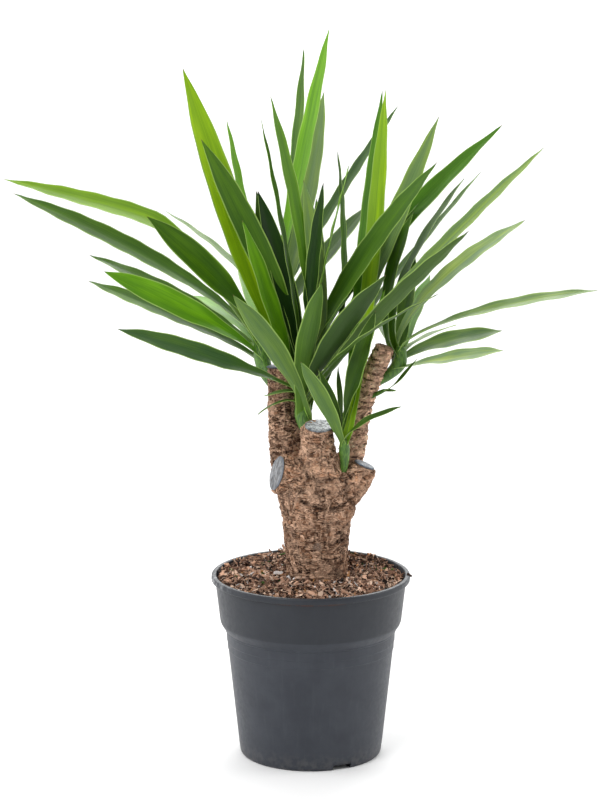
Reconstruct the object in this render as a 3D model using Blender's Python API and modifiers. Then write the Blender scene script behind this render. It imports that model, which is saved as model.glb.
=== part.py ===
"""Potted yucca: a branched cane with sawn and waxed stubs, and heads of leaves, in a plastic pot.

Metres, +Z up, -Y towards the viewer. The origin is the middle of the pot's base, on the floor.
"""

import math
from typing import NamedTuple

import bmesh
import bpy
from mathutils import Matrix, Vector

MM = 0.001

# The pot
RIM_RADIUS = 0.105
POT_HEIGHT = 0.195
POT_SIDES = 44
WALL = 0.0022
BEAD_HEIGHT = 0.0065
COLLAR_TOP_RADIUS = 0.1008
COLLAR_FOOT_RADIUS = 0.0957
COLLAR_FOOT_HEIGHT = 0.1437
STEP_RADIUS = 0.0896
STEP_HEIGHT = 0.1345
RING_RADIUS = 0.0868
RING_HEIGHT = 0.1200
RING_DEPTH = 0.0007
FOOT_RADIUS = 0.0750
FOOT_ROUND = 0.0012
FLOOR_THICKNESS = 0.0024

# The drain channel moulded into the pot's base, and the notches and holes that open it
CHANNEL_LIFT = 0.0045
CHANNEL_DRAFT = 0.001
CHANNEL_INNER = 0.030
CHANNEL_OUTER = 0.063
NOTCH_WIDTH = 0.021
NOTCH_HEIGHT = 0.0055
NOTCH_ANGLES = (-64.0, 56.0, 176.0)
DRAIN_RADIUS = 0.005
DRAIN_COUNT = 6
DRAIN_CIRCLE = 0.046
DRAIN_SIDES = 12

# Clearance between pieces that touch
GAP = 0.0003

# The soil
SOIL_EDGE_HEIGHT = 0.1890
SOIL_CROWN = 0.0050
SOIL_LUMP = 0.0013
SOIL_RINGS = 6

# The wood: its buried shank, then the marks that fallen leaves left round cane, stubs and branches
SHANK_X = 0.0065
SHANK_FOOT = 0.100
SHANK_TOP = 0.198
SHANK_RADIUS = 0.0310
CANE_SIDES = 18
STUB_SIDES = 12
BRANCH_SIDES = 14
FOOT_SIDES = 8
SCAR_PITCH = 0.018
SCAR_DEPTH = 0.0009
GIRTH_WOBBLE = 0.022
WOBBLE_DRIFT = 9.0

# The wax on the sawn ends
CAP_THICKNESS = 0.0016
CAP_OVERHANG = 0.0006
CAP_SIDES = 14
CAP_OUTLINE = ((0.0, 1.0), (0.86, 1.0), (0.96, 0.75), (1.0, 0.35), (0.97, 0.0), (0.0, 0.0))

# A head's short stem, and the stretch of it that leaves grow from
STEM_SIDES = 10
STEM_ROWS = 4
LEAF_LOWEST = 0.42
LEAF_HIGHEST = 0.90

# A leaf: its width along its length as shares of both, and its section
LEAF_OUTLINE = ((0.0, 0.56), (0.12, 0.44), (0.30, 0.70), (0.48, 0.96), (0.66, 1.0), (0.84, 0.72), (1.0, 0.0))
LEAF_EDGE = 0.0007
LEAF_MIDRIB = 0.0008
LEAF_CHANNEL = 0.30
LEAF_CHANNEL_FADE = 0.5
LEAF_TWIST_END = 0.45
LEAF_ARCH_EARLY = 0.62
KNEE_TIGHTNESS = 0.12
SPINE_STEP = 0.01

SHARP_ANGLE = math.radians(40)


class Limb(NamedTuple):
    """A sawn stub or branch: the points it runs through, its radii in millimetres, and its wax."""

    points: tuple
    radii: tuple
    sides: int
    cap: str = ""


class Leaf(NamedTuple):
    """A blade, by the direction and distance of its tip from its head, and by how it bends.

    Azimuth is 0 towards +X and 90 away from the viewer. Angles are degrees, sizes millimetres.
    Sag is how far the blade nods between root and tip, swing how far it turns sideways, and
    roll how far its upper face is twisted about its length. Fold makes the nod a sharp knee.
    """

    azimuth: float
    rise: float
    length: float
    width: float
    sag: float = 0.0
    swing: float = 0.0
    roll: float = 0.0
    fold: float = 0.0


class Head(NamedTuple):
    """A leafy shoot: the points its stem runs through in millimetres, its radii and its leaves."""

    stem: tuple
    radii: tuple
    leaves: tuple


CANE_POINTS = ((6.5, 0, 198), (6, 0, 236), (7, 1, 270), (9, 2, 300))
CANE_RADII = (31, 32.3, 33.5, 35.5, 38, 34, 18)

LIMBS = {
    "stub_left": Limb(
        points=((8, 2, 276), (-8, -3, 292), (-24, -8.5, 302.3), (-35, -12, 306)),
        radii=(28, 25, 21, 17.3),
        sides=STUB_SIDES,
        cap="wax_cap_left",
    ),
    "stub_centre": Limb(
        points=((8, -7, 284), (8, -3, 312), (8, 2, 338), (8.5, -2, 354)),
        radii=(24, 23.5, 18.3, 15.4, 14.2),
        sides=STUB_SIDES,
        cap="wax_cap_centre",
    ),
    "stub_right": Limb(
        points=((26, 0, 282), (42, 3, 292), (52.5, 4, 303), (56, 4, 311)),
        radii=(22, 18.5, 14.5, 10.5),
        sides=STUB_SIDES,
        cap="wax_cap_right",
    ),
    "shoot_foot": Limb(
        points=((8, 4, 318), (1, 8, 337), (-3, 13, 352)),
        radii=(12, 10, 7.5),
        sides=FOOT_SIDES,
    ),
    "branch_left": Limb(
        points=((-10, 16, 276), (-24, 33, 310), (-28, 42, 360), (-30, 46, 408)),
        radii=(24, 18.5, 16.8, 16),
        sides=BRANCH_SIDES,
        cap="wax_cap_back",
    ),
    "branch_right": Limb(
        points=((24, 18, 274), (41, 33, 310), (53.5, 29, 372), (77.5, 22, 434)),
        radii=(21, 14, 12.2, 9.8),
        sides=BRANCH_SIDES,
    ),
}

HEADS = {
    "leaves_left": Head(
        stem=((-37, 51, 388), (-48, 62, 401), (-52, 68, 416), (-53, 69, 433)),
        radii=(8.0, 8.0, 9.0, 6.0),
        leaves=(
            Leaf(146, 14, 240, 22, sag=12, swing=-10, roll=-20),
            Leaf(154, 24, 230, 22, sag=24, swing=-20, roll=-15),
            Leaf(177, 28, 190, 28, sag=24, roll=-50),
            Leaf(96, 20, 250, 26, sag=30),
            Leaf(112, 8, 215, 26, sag=34),
            Leaf(160, 29, 330, 26, sag=30, swing=-20, roll=-25),
            Leaf(170, 33, 335, 28, sag=78, roll=-25, fold=0.8),
            Leaf(123, 33, 240, 14, sag=42, swing=-50, roll=15),
            Leaf(-161, 51, 200, 28, sag=38, swing=-12, roll=-75),
            Leaf(55, 34, 250, 24, sag=18),
            Leaf(108, 62, 270, 13, swing=-8, roll=30),
            Leaf(37, 54, 315, 20, sag=8, swing=12, roll=-5),
            Leaf(42, 72, 290, 28, sag=-18, swing=-6, roll=10),
            Leaf(13, 82, 330, 20, sag=-18, roll=20),
            Leaf(-17, 78, 360, 24, sag=-4, roll=55),
        ),
    ),
    "leaves_centre": Head(
        stem=((1, 10, 334), (-4, 16, 347), (-8, 23, 362), (-8, 23, 388)),
        radii=(6.0, 7.0, 9.5, 6.0),
        leaves=(
            Leaf(-167, 26, 48, 11, sag=230),
            Leaf(-160, 3, 51, 6, sag=200),
            Leaf(-39, 40, 230, 12, sag=50, swing=-12),
            Leaf(-77, 62, 175, 26, sag=12, swing=-18, roll=20),
            Leaf(-128, 51, 185, 24, sag=24, swing=12, roll=25),
            Leaf(-150, 71, 224, 26, sag=4, roll=-62),
            Leaf(-47, 53, 205, 26, sag=32, swing=-12, roll=-25),
            Leaf(-26, 48, 280, 26, sag=24, swing=6, roll=-25),
            Leaf(25, 58, 255, 24, sag=32, swing=28, roll=-15),
            Leaf(36, 45, 340, 18, sag=6, swing=16, roll=-15),
            Leaf(23, 52, 375, 28, sag=42, swing=18, roll=20),
            Leaf(-12, 49, 385, 24, sag=15, roll=30),
            Leaf(-20, 62, 310, 28, sag=42, swing=16, roll=55),
            Leaf(102, 36, 260, 26, swing=-18, roll=15),
            Leaf(152, 77, 240, 26, sag=18, roll=-30),
            Leaf(84, 57, 250, 24, sag=-8, swing=-16, roll=-35),
            Leaf(19, 64, 345, 28, sag=-10, roll=25),
            Leaf(160, 69, 270, 22, sag=22, roll=55),
            Leaf(-171, 70, 312, 28, sag=26, swing=-14, roll=-75),
            Leaf(175, 71, 385, 31, sag=-6, roll=-60),
            Leaf(143, 75, 240, 26, sag=10, swing=6, roll=-50),
            Leaf(154, 81, 315, 12, sag=14, swing=8, roll=5),
            Leaf(68, 70, 285, 14, sag=-22, swing=-42, roll=-45),
            Leaf(-46, 76, 280, 16, sag=8, swing=-4, roll=45),
            Leaf(-62, 80, 255, 24, sag=16, swing=6, roll=95),
            Leaf(-165, 84, 340, 19, sag=24, roll=-55),
            Leaf(90, 89, 248, 18, swing=-33),
            Leaf(-163, 27, 225, 24, sag=12, roll=-45),
        ),
    ),
    "leaves_right": Head(
        stem=((71, 25, 397), (84, 28, 405), (93, 29, 416), (95, 30, 433)),
        radii=(5.0, 6.0, 8.0, 5.0),
        leaves=(
            Leaf(-25, 11, 120, 22, sag=8, roll=25),
            Leaf(35, 8, 140, 24, sag=28, swing=20, roll=25),
            Leaf(59, 9, 130, 12, sag=28, swing=24, roll=-15),
            Leaf(98, 12, 165, 24, sag=30),
            Leaf(75, 26, 160, 24, swing=8, roll=-25),
            Leaf(24, 44, 205, 26, sag=48, swing=26, roll=10),
            Leaf(78, 48, 135, 24, swing=4, roll=-35),
            Leaf(31, 84, 160, 24, sag=32, swing=50, roll=-5),
            Leaf(48, 60, 215, 24, sag=30, swing=40, roll=-30),
            Leaf(-11, 22, 225, 24, sag=30, roll=15),
        ),
    ),
    "leaves_shoot": Head(
        stem=((31, -3, 298), (35, -8, 314), (35, -10, 330), (35, -11, 342)),
        radii=(3.0, 4.2, 5.8, 3.5),
        leaves=(
            Leaf(-34, 38, 90, 8, sag=86, swing=-32, roll=45),
            Leaf(-138, 59, 120, 18, sag=18, swing=6, roll=30),
            Leaf(-155, 71, 95, 14, sag=22, roll=-60),
            Leaf(102, 70, 90, 10, sag=-4, swing=10, roll=45),
            Leaf(72, 58, 90, 10, sag=6, swing=22, roll=-40),
            Leaf(44, 70, 175, 18, sag=8, swing=8, roll=-20),
            Leaf(-24, 77, 155, 22, sag=24, swing=12, roll=70),
            Leaf(70, 72, 385, 18, roll=-10),
            Leaf(67, 73, 385, 20, swing=-10, roll=-10),
        ),
    ),
    "sprout": Head(
        stem=((63, 22, 381), (71, 16, 386), (77, 11, 390)),
        radii=(2.4, 2.4, 1.8),
        leaves=(
            Leaf(-13, 9, 20, 4, sag=44, roll=40),
            Leaf(-4, 43, 55, 4, sag=-26, roll=45),
        ),
    ),
}


def clear_scene():
    """Empties the file that the script is run in."""
    for obj in list(bpy.data.objects):
        bpy.data.objects.remove(obj, do_unlink=True)


def make_collection(name):
    collection = bpy.data.collections.new(name)
    bpy.context.scene.collection.children.link(collection)
    return collection


def make_material(name, colour, roughness, metallic=0.0):
    material = bpy.data.materials.new(name)
    material.use_nodes = True
    shader = material.node_tree.nodes["Principled BSDF"]
    shader.inputs["Base Color"].default_value = (*colour, 1.0)
    shader.inputs["Roughness"].default_value = roughness
    shader.inputs["Metallic"].default_value = metallic
    material.diffuse_color = (*colour, 1.0)
    return material


def add_object(name, mesh, collection, material=None):
    obj = bpy.data.objects.new(name, mesh)
    collection.objects.link(obj)
    if material:
        mesh.materials.append(material)
    return obj


def apply_modifiers(obj):
    """Replaces the object's mesh with what its modifiers make of it."""
    graph = bpy.context.evaluated_depsgraph_get()
    graph.update()
    made = bpy.data.meshes.new_from_object(obj.evaluated_get(graph))
    obj.modifiers.clear()
    obj.data = made


def stow(obj, cutters):
    """Keeps a cutter out of the render and among the other cutters."""
    for home in list(obj.users_collection):
        home.objects.unlink(obj)
    cutters.objects.link(obj)
    obj.hide_render = True
    obj.display_type = "WIRE"


def boolean(obj, operation, other):
    """Cuts with or joins on another object, or all that a collection holds."""
    modifier = obj.modifiers.new(operation.lower(), "BOOLEAN")
    modifier.operation = operation
    modifier.solver = "EXACT"
    if isinstance(other, bpy.types.Collection):
        modifier.operand_type = "COLLECTION"
        modifier.collection = other
    else:
        modifier.object = other


def keep_largest_body(mesh):
    """Drops what a union leaves loose: sealed hollows and scraps."""
    shape = bmesh.new()
    shape.from_mesh(mesh)
    bodies = []
    unseen = set(shape.verts)
    while unseen:
        body = [unseen.pop()]
        for vertex in body:
            for edge in vertex.link_edges:
                other = edge.other_vert(vertex)
                if other in unseen:
                    unseen.remove(other)
                    body.append(other)
        bodies.append(body)
    bodies.sort(key=len)
    for body in bodies[:-1]:
        bmesh.ops.delete(shape, geom=body, context="VERTS")
    shape.to_mesh(mesh)
    shape.free()


def join(name, pieces, collection, material):
    """One solid from overlapping pieces, by a Boolean union on the collection that holds them."""
    first = pieces.objects[0]
    joined = add_object(name, first.data.copy(), collection)
    bpy.data.objects.remove(first, do_unlink=True)
    boolean(joined, "UNION", pieces)
    apply_modifiers(joined)
    keep_largest_body(joined.data)
    joined.data.materials.clear()
    joined.data.materials.append(material)
    for piece in list(pieces.objects):
        bpy.data.objects.remove(piece, do_unlink=True)
    bpy.data.collections.remove(pieces)
    return joined


def turned(name, profile, sides, collection, material):
    """A profile of (radius, height) points, turned about Z."""
    mesh = bpy.data.meshes.new(name)
    points = [(radius, 0.0, height) for radius, height in profile]
    mesh.from_pydata(points, [(i, i + 1) for i in range(len(points) - 1)], [])
    obj = add_object(name, mesh, collection, material)
    screw = obj.modifiers.new("turn", "SCREW")
    screw.axis = "Z"
    screw.steps = screw.render_steps = sides
    screw.use_merge_vertices = True
    screw.merge_threshold = 0.00001
    screw.use_smooth_shade = True
    return obj


def on_curve(points, t):
    """A point at t from 0 to 1 on the smooth curve through these points, and the curve's direction there."""
    spans = len(points) - 1
    place = min(t * spans, spans - 0.000001)
    index = int(place)
    s = place - index
    before = points[max(index - 1, 0)]
    start = points[index]
    end = points[index + 1]
    after = points[min(index + 2, spans)]
    enter = (end - before) / 2
    leave = (after - start) / 2
    bend = 3 * (end - start) - 2 * enter - leave
    twist = 2 * (start - end) + enter + leave
    point = start + s * (enter + s * (bend + s * twist))
    direction = enter + s * (2 * bend + s * 3 * twist)
    return point, direction.normalized()


def at(outline, t):
    """The value at t of an outline of (t, value) points, in straight steps."""
    for (a, low), (b, high) in zip(outline, outline[1:]):
        if t <= b:
            return low + (high - low) * (t - a) / (b - a)
    return outline[-1][1]


def spread(values):
    """An outline of (t, value) points that spreads these values evenly from 0 to 1."""
    return [(index / (len(values) - 1), value) for index, value in enumerate(values)]


def around(centre, direction, radius, sides, wobble=0.0, seed=0.0):
    """A ring of points round a centre, square to a direction, its radius varied a little by angle."""
    near_front = Vector((0.13, 1.0, 0.07))
    side = direction.cross(near_front).normalized()
    front = direction.cross(side)
    ring = []
    for i in range(sides):
        angle = math.tau * i / sides
        bump = math.sin(2 * angle + seed) + 0.7 * math.sin(3 * angle - 1.7 * seed)
        reach = radius * (1.0 + wobble * bump)
        ring.append(centre + reach * (side * math.cos(angle) + front * math.sin(angle)))
    return ring


def loft(name, rings, collection):
    """A closed solid through rings of points, each running anticlockwise seen from the last one.

    The last ring may be a single point. The two halves of a ring are split into triangles the
    other way about, so that a thin blade's two faces are split alike and never cross.
    """
    mesh = bpy.data.meshes.new(name)
    shape = bmesh.new()
    rows = [[shape.verts.new(point) for point in ring] for ring in rings]
    for lower, upper in zip(rows, rows[1:]):
        count = len(lower)
        for i in range(count):
            a = lower[i]
            b = lower[(i + 1) % count]
            c = upper[(i + 1) % len(upper)]
            d = upper[i % len(upper)]
            if len(upper) == 1:
                shape.faces.new((a, b, c))
            elif i < count // 2:
                shape.faces.new((a, b, c))
                shape.faces.new((a, c, d))
            else:
                shape.faces.new((a, b, d))
                shape.faces.new((b, c, d))
    shape.faces.new(rows[0][::-1])
    if len(rows[-1]) > 1:
        shape.faces.new(rows[-1])
    shape.to_mesh(mesh)
    shape.free()
    return add_object(name, mesh, collection)


def pot_outside():
    """The pot's outer wall, from the top of the bead down to the foot."""
    bead_foot = POT_HEIGHT - BEAD_HEIGHT
    bead_round = BEAD_HEIGHT / 3
    return [
        (RIM_RADIUS - bead_round * 0.7, POT_HEIGHT),
        (RIM_RADIUS, POT_HEIGHT - bead_round),
        (RIM_RADIUS, bead_foot + bead_round * 0.6),
        (RIM_RADIUS - bead_round * 0.4, bead_foot),
        (COLLAR_TOP_RADIUS, bead_foot),
        (COLLAR_FOOT_RADIUS, COLLAR_FOOT_HEIGHT),
        (STEP_RADIUS, STEP_HEIGHT),
        (RING_RADIUS, RING_HEIGHT),
        (RING_RADIUS - RING_DEPTH, RING_HEIGHT - RING_DEPTH),
        (FOOT_RADIUS, FOOT_ROUND * 2),
        (FOOT_RADIUS - FOOT_ROUND, 0.0),
    ]


def pot_inside(inset):
    """The inner wall, from the floor up to the collar, set this far in from the outer wall."""
    floor = CHANNEL_LIFT + FLOOR_THICKNESS + inset - WALL
    taper = (RING_RADIUS - FOOT_RADIUS) / RING_HEIGHT
    return [
        (FOOT_RADIUS + taper * floor - inset, floor),
        (RING_RADIUS - inset, RING_HEIGHT),
        (STEP_RADIUS - inset, STEP_HEIGHT),
        (COLLAR_FOOT_RADIUS - inset, COLLAR_FOOT_HEIGHT),
        (COLLAR_TOP_RADIUS - inset, POT_HEIGHT - BEAD_HEIGHT),
    ]


def pot_underside():
    """The base: a foot ring and a flat middle that touch the floor, and a drain channel between them."""
    return [
        (CHANNEL_OUTER, 0.0),
        (CHANNEL_OUTER - CHANNEL_DRAFT, CHANNEL_LIFT),
        (CHANNEL_INNER + CHANNEL_DRAFT, CHANNEL_LIFT),
        (CHANNEL_INNER, 0.0),
        (0.0, 0.0),
    ]


def build_pot(collection, cutters, material):
    """The pot: one moulding with a beaded rim, a broad collar, a stepped wall and a drained base."""
    lip = (RIM_RADIUS - BEAD_HEIGHT * 0.75, POT_HEIGHT)
    floor_middle = (0.0, CHANNEL_LIFT + FLOOR_THICKNESS)
    outline = [floor_middle, *pot_inside(WALL), lip, *pot_outside(), *pot_underside()]
    pot = turned("pot", outline, POT_SIDES, collection, material)
    apply_modifiers(pot)
    for angle in NOTCH_ANGLES:
        bpy.ops.mesh.primitive_cube_add(size=1.0)
        notch = bpy.context.object
        notch.name = "notch_cutter"
        size = Matrix.Diagonal((2 * (FOOT_RADIUS - CHANNEL_OUTER), NOTCH_WIDTH, 2 * NOTCH_HEIGHT, 1.0))
        place = Matrix.Translation(((FOOT_RADIUS + CHANNEL_OUTER) / 2, 0.0, 0.0))
        notch.data.transform(Matrix.Rotation(math.radians(angle), 4, "Z") @ place @ size)
        stow(notch, cutters)
    for index in range(DRAIN_COUNT):
        angle = math.tau * (index + 0.5) / DRAIN_COUNT
        place = (DRAIN_CIRCLE * math.cos(angle), DRAIN_CIRCLE * math.sin(angle), CHANNEL_LIFT)
        bpy.ops.mesh.primitive_cylinder_add(
            vertices=DRAIN_SIDES, radius=DRAIN_RADIUS, depth=4 * FLOOR_THICKNESS, location=place
        )
        drain = bpy.context.object
        drain.name = "drain_cutter"
        stow(drain, cutters)
    boolean(pot, "DIFFERENCE", cutters)
    apply_modifiers(pot)
    return pot


def soil_height(x, y):
    """The soil's top: a low crown round the cane, with lumps."""
    reach = min(1.0, math.hypot(x, y) / COLLAR_TOP_RADIUS)
    lumps = math.sin(71 * x + 1.3) * math.cos(63 * y - 0.6)
    lumps += 0.7 * math.sin(133 * x - 97 * y + 2.1)
    lumps += 0.5 * math.cos(171 * y + 88 * x)
    return SOIL_EDGE_HEIGHT + SOIL_CROWN * (1 - reach ** 2) + SOIL_LUMP * lumps


def build_soil(collection, cutters, material):
    """The soil: it fills the pot to just under the rim, and the cane stands in a plain hole in it."""
    side = pot_inside(WALL + GAP)[:-1]
    edge = COLLAR_TOP_RADIUS - WALL - 2 * GAP
    top = [(edge * ring / SOIL_RINGS, SOIL_EDGE_HEIGHT) for ring in range(SOIL_RINGS + 1)]
    bottom = (0.0, side[0][1])
    soil = turned("soil", [*top, *side[::-1], bottom], POT_SIDES, collection, material)
    apply_modifiers(soil)
    for vertex in soil.data.vertices:
        if vertex.co.z > SOIL_EDGE_HEIGHT - GAP:
            vertex.co.z = soil_height(vertex.co.x, vertex.co.y)
    hole = loft("shank_hole_cutter", shank(GAP), cutters)
    stow(hole, cutters)
    boolean(soil, "DIFFERENCE", hole)
    apply_modifiers(soil)
    return soil


def shank(margin=0.0):
    """The two end rings of the cane's buried stretch, or with a margin of the hole that it stands in."""
    up = Vector((0.0, 0.0, 1.0))
    foot = Vector((SHANK_X, 0.0, SHANK_FOOT - margin))
    top = Vector((SHANK_X, 0.0, SHANK_TOP))
    return [around(place, up, SHANK_RADIUS + margin, CANE_SIDES) for place in (foot, top)]


def scarred(points, radii, sides):
    """Rings along grown wood: it swells and dips at each leaf scar, and is plain at both ends."""
    points = [Vector(point) * MM for point in points]
    length = sum((b - a).length for a, b in zip(points, points[1:]))
    girth = spread([radius * MM for radius in radii])
    rows = round(length / (SCAR_PITCH / 2))
    rings = []
    for row in range(rows + 1):
        t = row / rows
        centre, direction = on_curve(points, t)
        radius = at(girth, t)
        wobble = 0.0
        if 0 < row < rows:
            radius += SCAR_DEPTH if row % 2 else -SCAR_DEPTH
            wobble = GIRTH_WOBBLE
        rings.append(around(centre, direction, radius, sides, wobble, WOBBLE_DRIFT * t))
    return rings


def build_trunk(collection, cutters, material):
    """The trunk: a cane that stands in the soil, its knob, three sawn stubs and two branches."""
    pieces = make_collection("trunk_pieces")
    grown = scarred(CANE_POINTS, CANE_RADII, CANE_SIDES)
    loft("cane", [*shank(), *grown[1:]], pieces)
    for name, limb in LIMBS.items():
        loft(name, scarred(limb.points, limb.radii, limb.sides), pieces)
    trunk = join("trunk", pieces, collection, material)
    for name, head in HEADS.items():
        socket = head_stem(f"{name}_socket_cutter", head, cutters, GAP)
        stow(socket, cutters)
        boolean(trunk, "DIFFERENCE", socket)
    apply_modifiers(trunk)
    return trunk


def build_cap(limb, collection, material):
    """The wax that seals a sawn end: a thin disc with a rounded edge, turned to face along the limb."""
    points = [Vector(point) * MM for point in limb.points]
    centre, direction = on_curve(points, 1.0)
    reach = limb.radii[-1] * MM + CAP_OVERHANG
    profile = [(reach * across, CAP_THICKNESS * height) for across, height in CAP_OUTLINE]
    cap = turned(limb.cap, profile, CAP_SIDES, collection, material)
    apply_modifiers(cap)
    cap.location = centre + direction * GAP
    cap.rotation_euler = direction.to_track_quat("Z", "X").to_euler()
    return cap


def head_stem(name, head, collection, margin=0.0):
    """A head's short stem, or with a margin the socket that it stands in."""
    points = [Vector(point) * MM for point in head.stem]
    girth = spread([radius * MM + margin for radius in head.radii])
    rings = []
    for row in range(STEM_ROWS + 1):
        t = row / STEM_ROWS
        centre, direction = on_curve(points, t)
        if row == 0:
            centre = centre - direction * margin
        rings.append(around(centre, direction, at(girth, t), STEM_SIDES))
    return loft(name, rings, collection)


def leaf_spine(leaf, root, centre):
    """The middle line of a leaf from its root to its tip, as a function of t from 0 to 1."""
    azimuth = math.radians(leaf.azimuth)
    rise = math.radians(leaf.rise)
    up = Vector((0.0, 0.0, 1.0))
    outward = Vector((math.cos(azimuth), math.sin(azimuth), 0.0))
    aim = outward * math.cos(rise) + up * math.sin(rise)
    lift = up * math.cos(rise) - outward * math.sin(rise)
    length = leaf.length * MM
    tip = centre + aim * length
    # A shallow arc that turns by an angle stands off its chord by an eighth of angle times length
    nod = lift * length * math.radians(leaf.sag) / 8
    turn = up.cross(outward) * length * math.radians(leaf.swing) / 8
    knee_foot = math.hypot(1, KNEE_TIGHTNESS)

    def spine(t):
        early = t ** LEAF_ARCH_EARLY
        arch = 4 * early * (1 - early)
        knee = (knee_foot - math.hypot(2 * t - 1, KNEE_TIGHTNESS)) / (knee_foot - KNEE_TIGHTNESS)
        return root.lerp(tip, t) + nod * (arch + (knee - arch) * leaf.fold) + turn * arch

    return spine


def blade(name, leaf, root, centre, collection):
    """One leaf: a channelled blade that clasps its stem, narrows to a neck, swells and ends in a point."""
    azimuth = math.radians(leaf.azimuth)
    sideways = Vector((-math.sin(azimuth), math.cos(azimuth), 0.0))
    spine = leaf_spine(leaf, root, centre)
    rings = []
    for t, share in LEAF_OUTLINE[:-1]:
        point = spine(t)
        along = (spine(t + SPINE_STEP) - spine(max(t - SPINE_STEP, 0.0))).normalized()
        across = (sideways - along * sideways.dot(along)).normalized()
        roll = math.radians(leaf.roll) * min(1.0, t / LEAF_TWIST_END)
        across = Matrix.Rotation(roll, 3, along) @ across
        up = along.cross(across)
        half = leaf.width * MM / 2 * share
        edge = up * half * LEAF_CHANNEL * (1.0 - LEAF_CHANNEL_FADE * t)
        thin = up * LEAF_EDGE / 2
        thick = up * (LEAF_EDGE / 2 + LEAF_MIDRIB * (1 - t))
        left = point + across * half + edge
        right = point - across * half + edge
        rings.append([left + thin, point + thin, right + thin, right - thin, point - thick, left - thin])
    rings.append([spine(1.0)])
    return loft(name, rings, collection)


def build_head(name, head, collection, material):
    """A head of leaves, fused to the short stem they grow from."""
    pieces = make_collection(f"{name}_pieces")
    head_stem(f"{name}_stem", head, pieces)
    points = [Vector(point) * MM for point in head.stem]
    centre = points[-2]
    last = len(head.leaves) - 1
    for index, leaf in enumerate(head.leaves):
        root, _ = on_curve(points, LEAF_LOWEST + (LEAF_HIGHEST - LEAF_LOWEST) * index / last)
        blade(f"{name}_{index}", leaf, root, centre, pieces)
    return join(name, pieces, collection, material)


def main():
    clear_scene()
    parts = make_collection("potted_yucca")
    pot_cutters = make_collection("pot_cutters")
    cutters = make_collection("cutters")
    plastic = make_material("pot_plastic", (0.055, 0.062, 0.075), 0.45)
    earth = make_material("potting_soil", (0.115, 0.06, 0.038), 0.95)
    bark = make_material("yucca_bark", (0.30, 0.19, 0.125), 0.85)
    wax = make_material("sealing_wax", (0.50, 0.52, 0.54), 0.5)
    green = make_material("yucca_leaf", (0.07, 0.19, 0.035), 0.42)
    build_pot(parts, pot_cutters, plastic)
    build_soil(parts, cutters, earth)
    build_trunk(parts, cutters, bark)
    for limb in LIMBS.values():
        if limb.cap:
            build_cap(limb, parts, wax)
    for name, head in HEADS.items():
        build_head(name, head, parts, green)
    for obj in parts.objects:
        obj.data.shade_smooth()
        obj.data.set_sharp_from_angle(angle=SHARP_ANGLE)


main()
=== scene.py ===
"""A potted yucca: the looks of pot, soil, cane, wax and leaves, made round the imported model.

+Z is up and -Y towards the viewer. The pot stands on the floor with its axis at the origin.
The shapes are reckoned in millimetres, and the studio and the materials' patterns in metres.
"""

import math
from typing import NamedTuple

import bpy
import numpy as np
from mathutils import Matrix, Vector, noise


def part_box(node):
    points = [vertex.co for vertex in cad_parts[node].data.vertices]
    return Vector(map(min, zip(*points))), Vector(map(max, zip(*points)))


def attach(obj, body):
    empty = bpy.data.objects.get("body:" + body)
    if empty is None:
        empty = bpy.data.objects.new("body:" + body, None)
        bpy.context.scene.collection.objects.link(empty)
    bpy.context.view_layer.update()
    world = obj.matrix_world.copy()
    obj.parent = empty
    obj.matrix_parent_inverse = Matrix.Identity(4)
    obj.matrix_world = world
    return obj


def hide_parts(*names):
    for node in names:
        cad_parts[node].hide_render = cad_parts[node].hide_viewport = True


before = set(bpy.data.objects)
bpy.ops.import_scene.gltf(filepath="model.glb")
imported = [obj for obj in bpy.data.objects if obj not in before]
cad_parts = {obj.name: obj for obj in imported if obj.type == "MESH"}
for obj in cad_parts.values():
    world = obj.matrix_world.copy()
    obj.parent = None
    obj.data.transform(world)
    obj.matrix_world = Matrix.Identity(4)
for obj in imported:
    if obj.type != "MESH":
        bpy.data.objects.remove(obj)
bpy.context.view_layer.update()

MM = 0.001


# Studio
#
# White floor running far back, a pale sky all round and five big soft lamps, as in a
# catalogue studio. The camera stands 3.2 m off, a little over a metre up, and looks down 12 degrees.
CAMERA_PLACE = (-0.0114, -3.2, 1.0545)
CAMERA_TILT = math.radians(90 - 11.87)
CAMERA_LENS = 140.9
CAMERA_SENSOR = 36
FLOOR_REACH = 60000
FLOOR_WHITE = 0.86


def placed(name, data):
    """A new object in the scene's collection."""
    obj = bpy.data.objects.new(name, data)
    bpy.context.scene.collection.objects.link(obj)
    return obj


camera_data = bpy.data.cameras.new("camera")
camera_data.lens = CAMERA_LENS
camera_data.sensor_width = CAMERA_SENSOR
camera = placed("camera", camera_data)
camera.location = CAMERA_PLACE
camera.rotation_euler = (CAMERA_TILT, 0, 0)
bpy.context.scene.camera = camera
bpy.context.scene.view_settings.view_transform = "Standard"


class Nodes:
    """Short calls that make and join the nodes of a tree. Their place is the point on the object."""

    def __init__(self, tree):
        self.tree = tree
        self.place = self.node("ShaderNodeTexCoord")["Object"]

    def feed(self, socket, value):
        """Links an output to a socket, or sets the socket to a number or a colour."""
        if isinstance(value, bpy.types.NodeSocket):
            self.tree.links.new(value, socket)
        elif isinstance(value, tuple) and len(value) == 3 and socket.type == "RGBA":
            socket.default_value = (*value, 1)
        else:
            socket.default_value = value

    def node(self, kind, *values, **named):
        """The outputs of a new node. Names in small letters are its settings, the rest its inputs."""
        made = self.tree.nodes.new(kind)
        for socket, value in zip(made.inputs, values):
            self.feed(socket, value)
        for name, value in named.items():
            if name.islower():
                setattr(made, name, value)
            else:
                self.feed(made.inputs[name.replace("_", " ")], value)
        return made.outputs

    def rescale(self, value, low, high, to_low=0, to_high=1):
        """Moves the stretch from low to high onto another one, and holds it there beyond both ends."""
        return self.node("ShaderNodeMapRange", value, low, high, to_low, to_high)["Result"]


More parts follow.
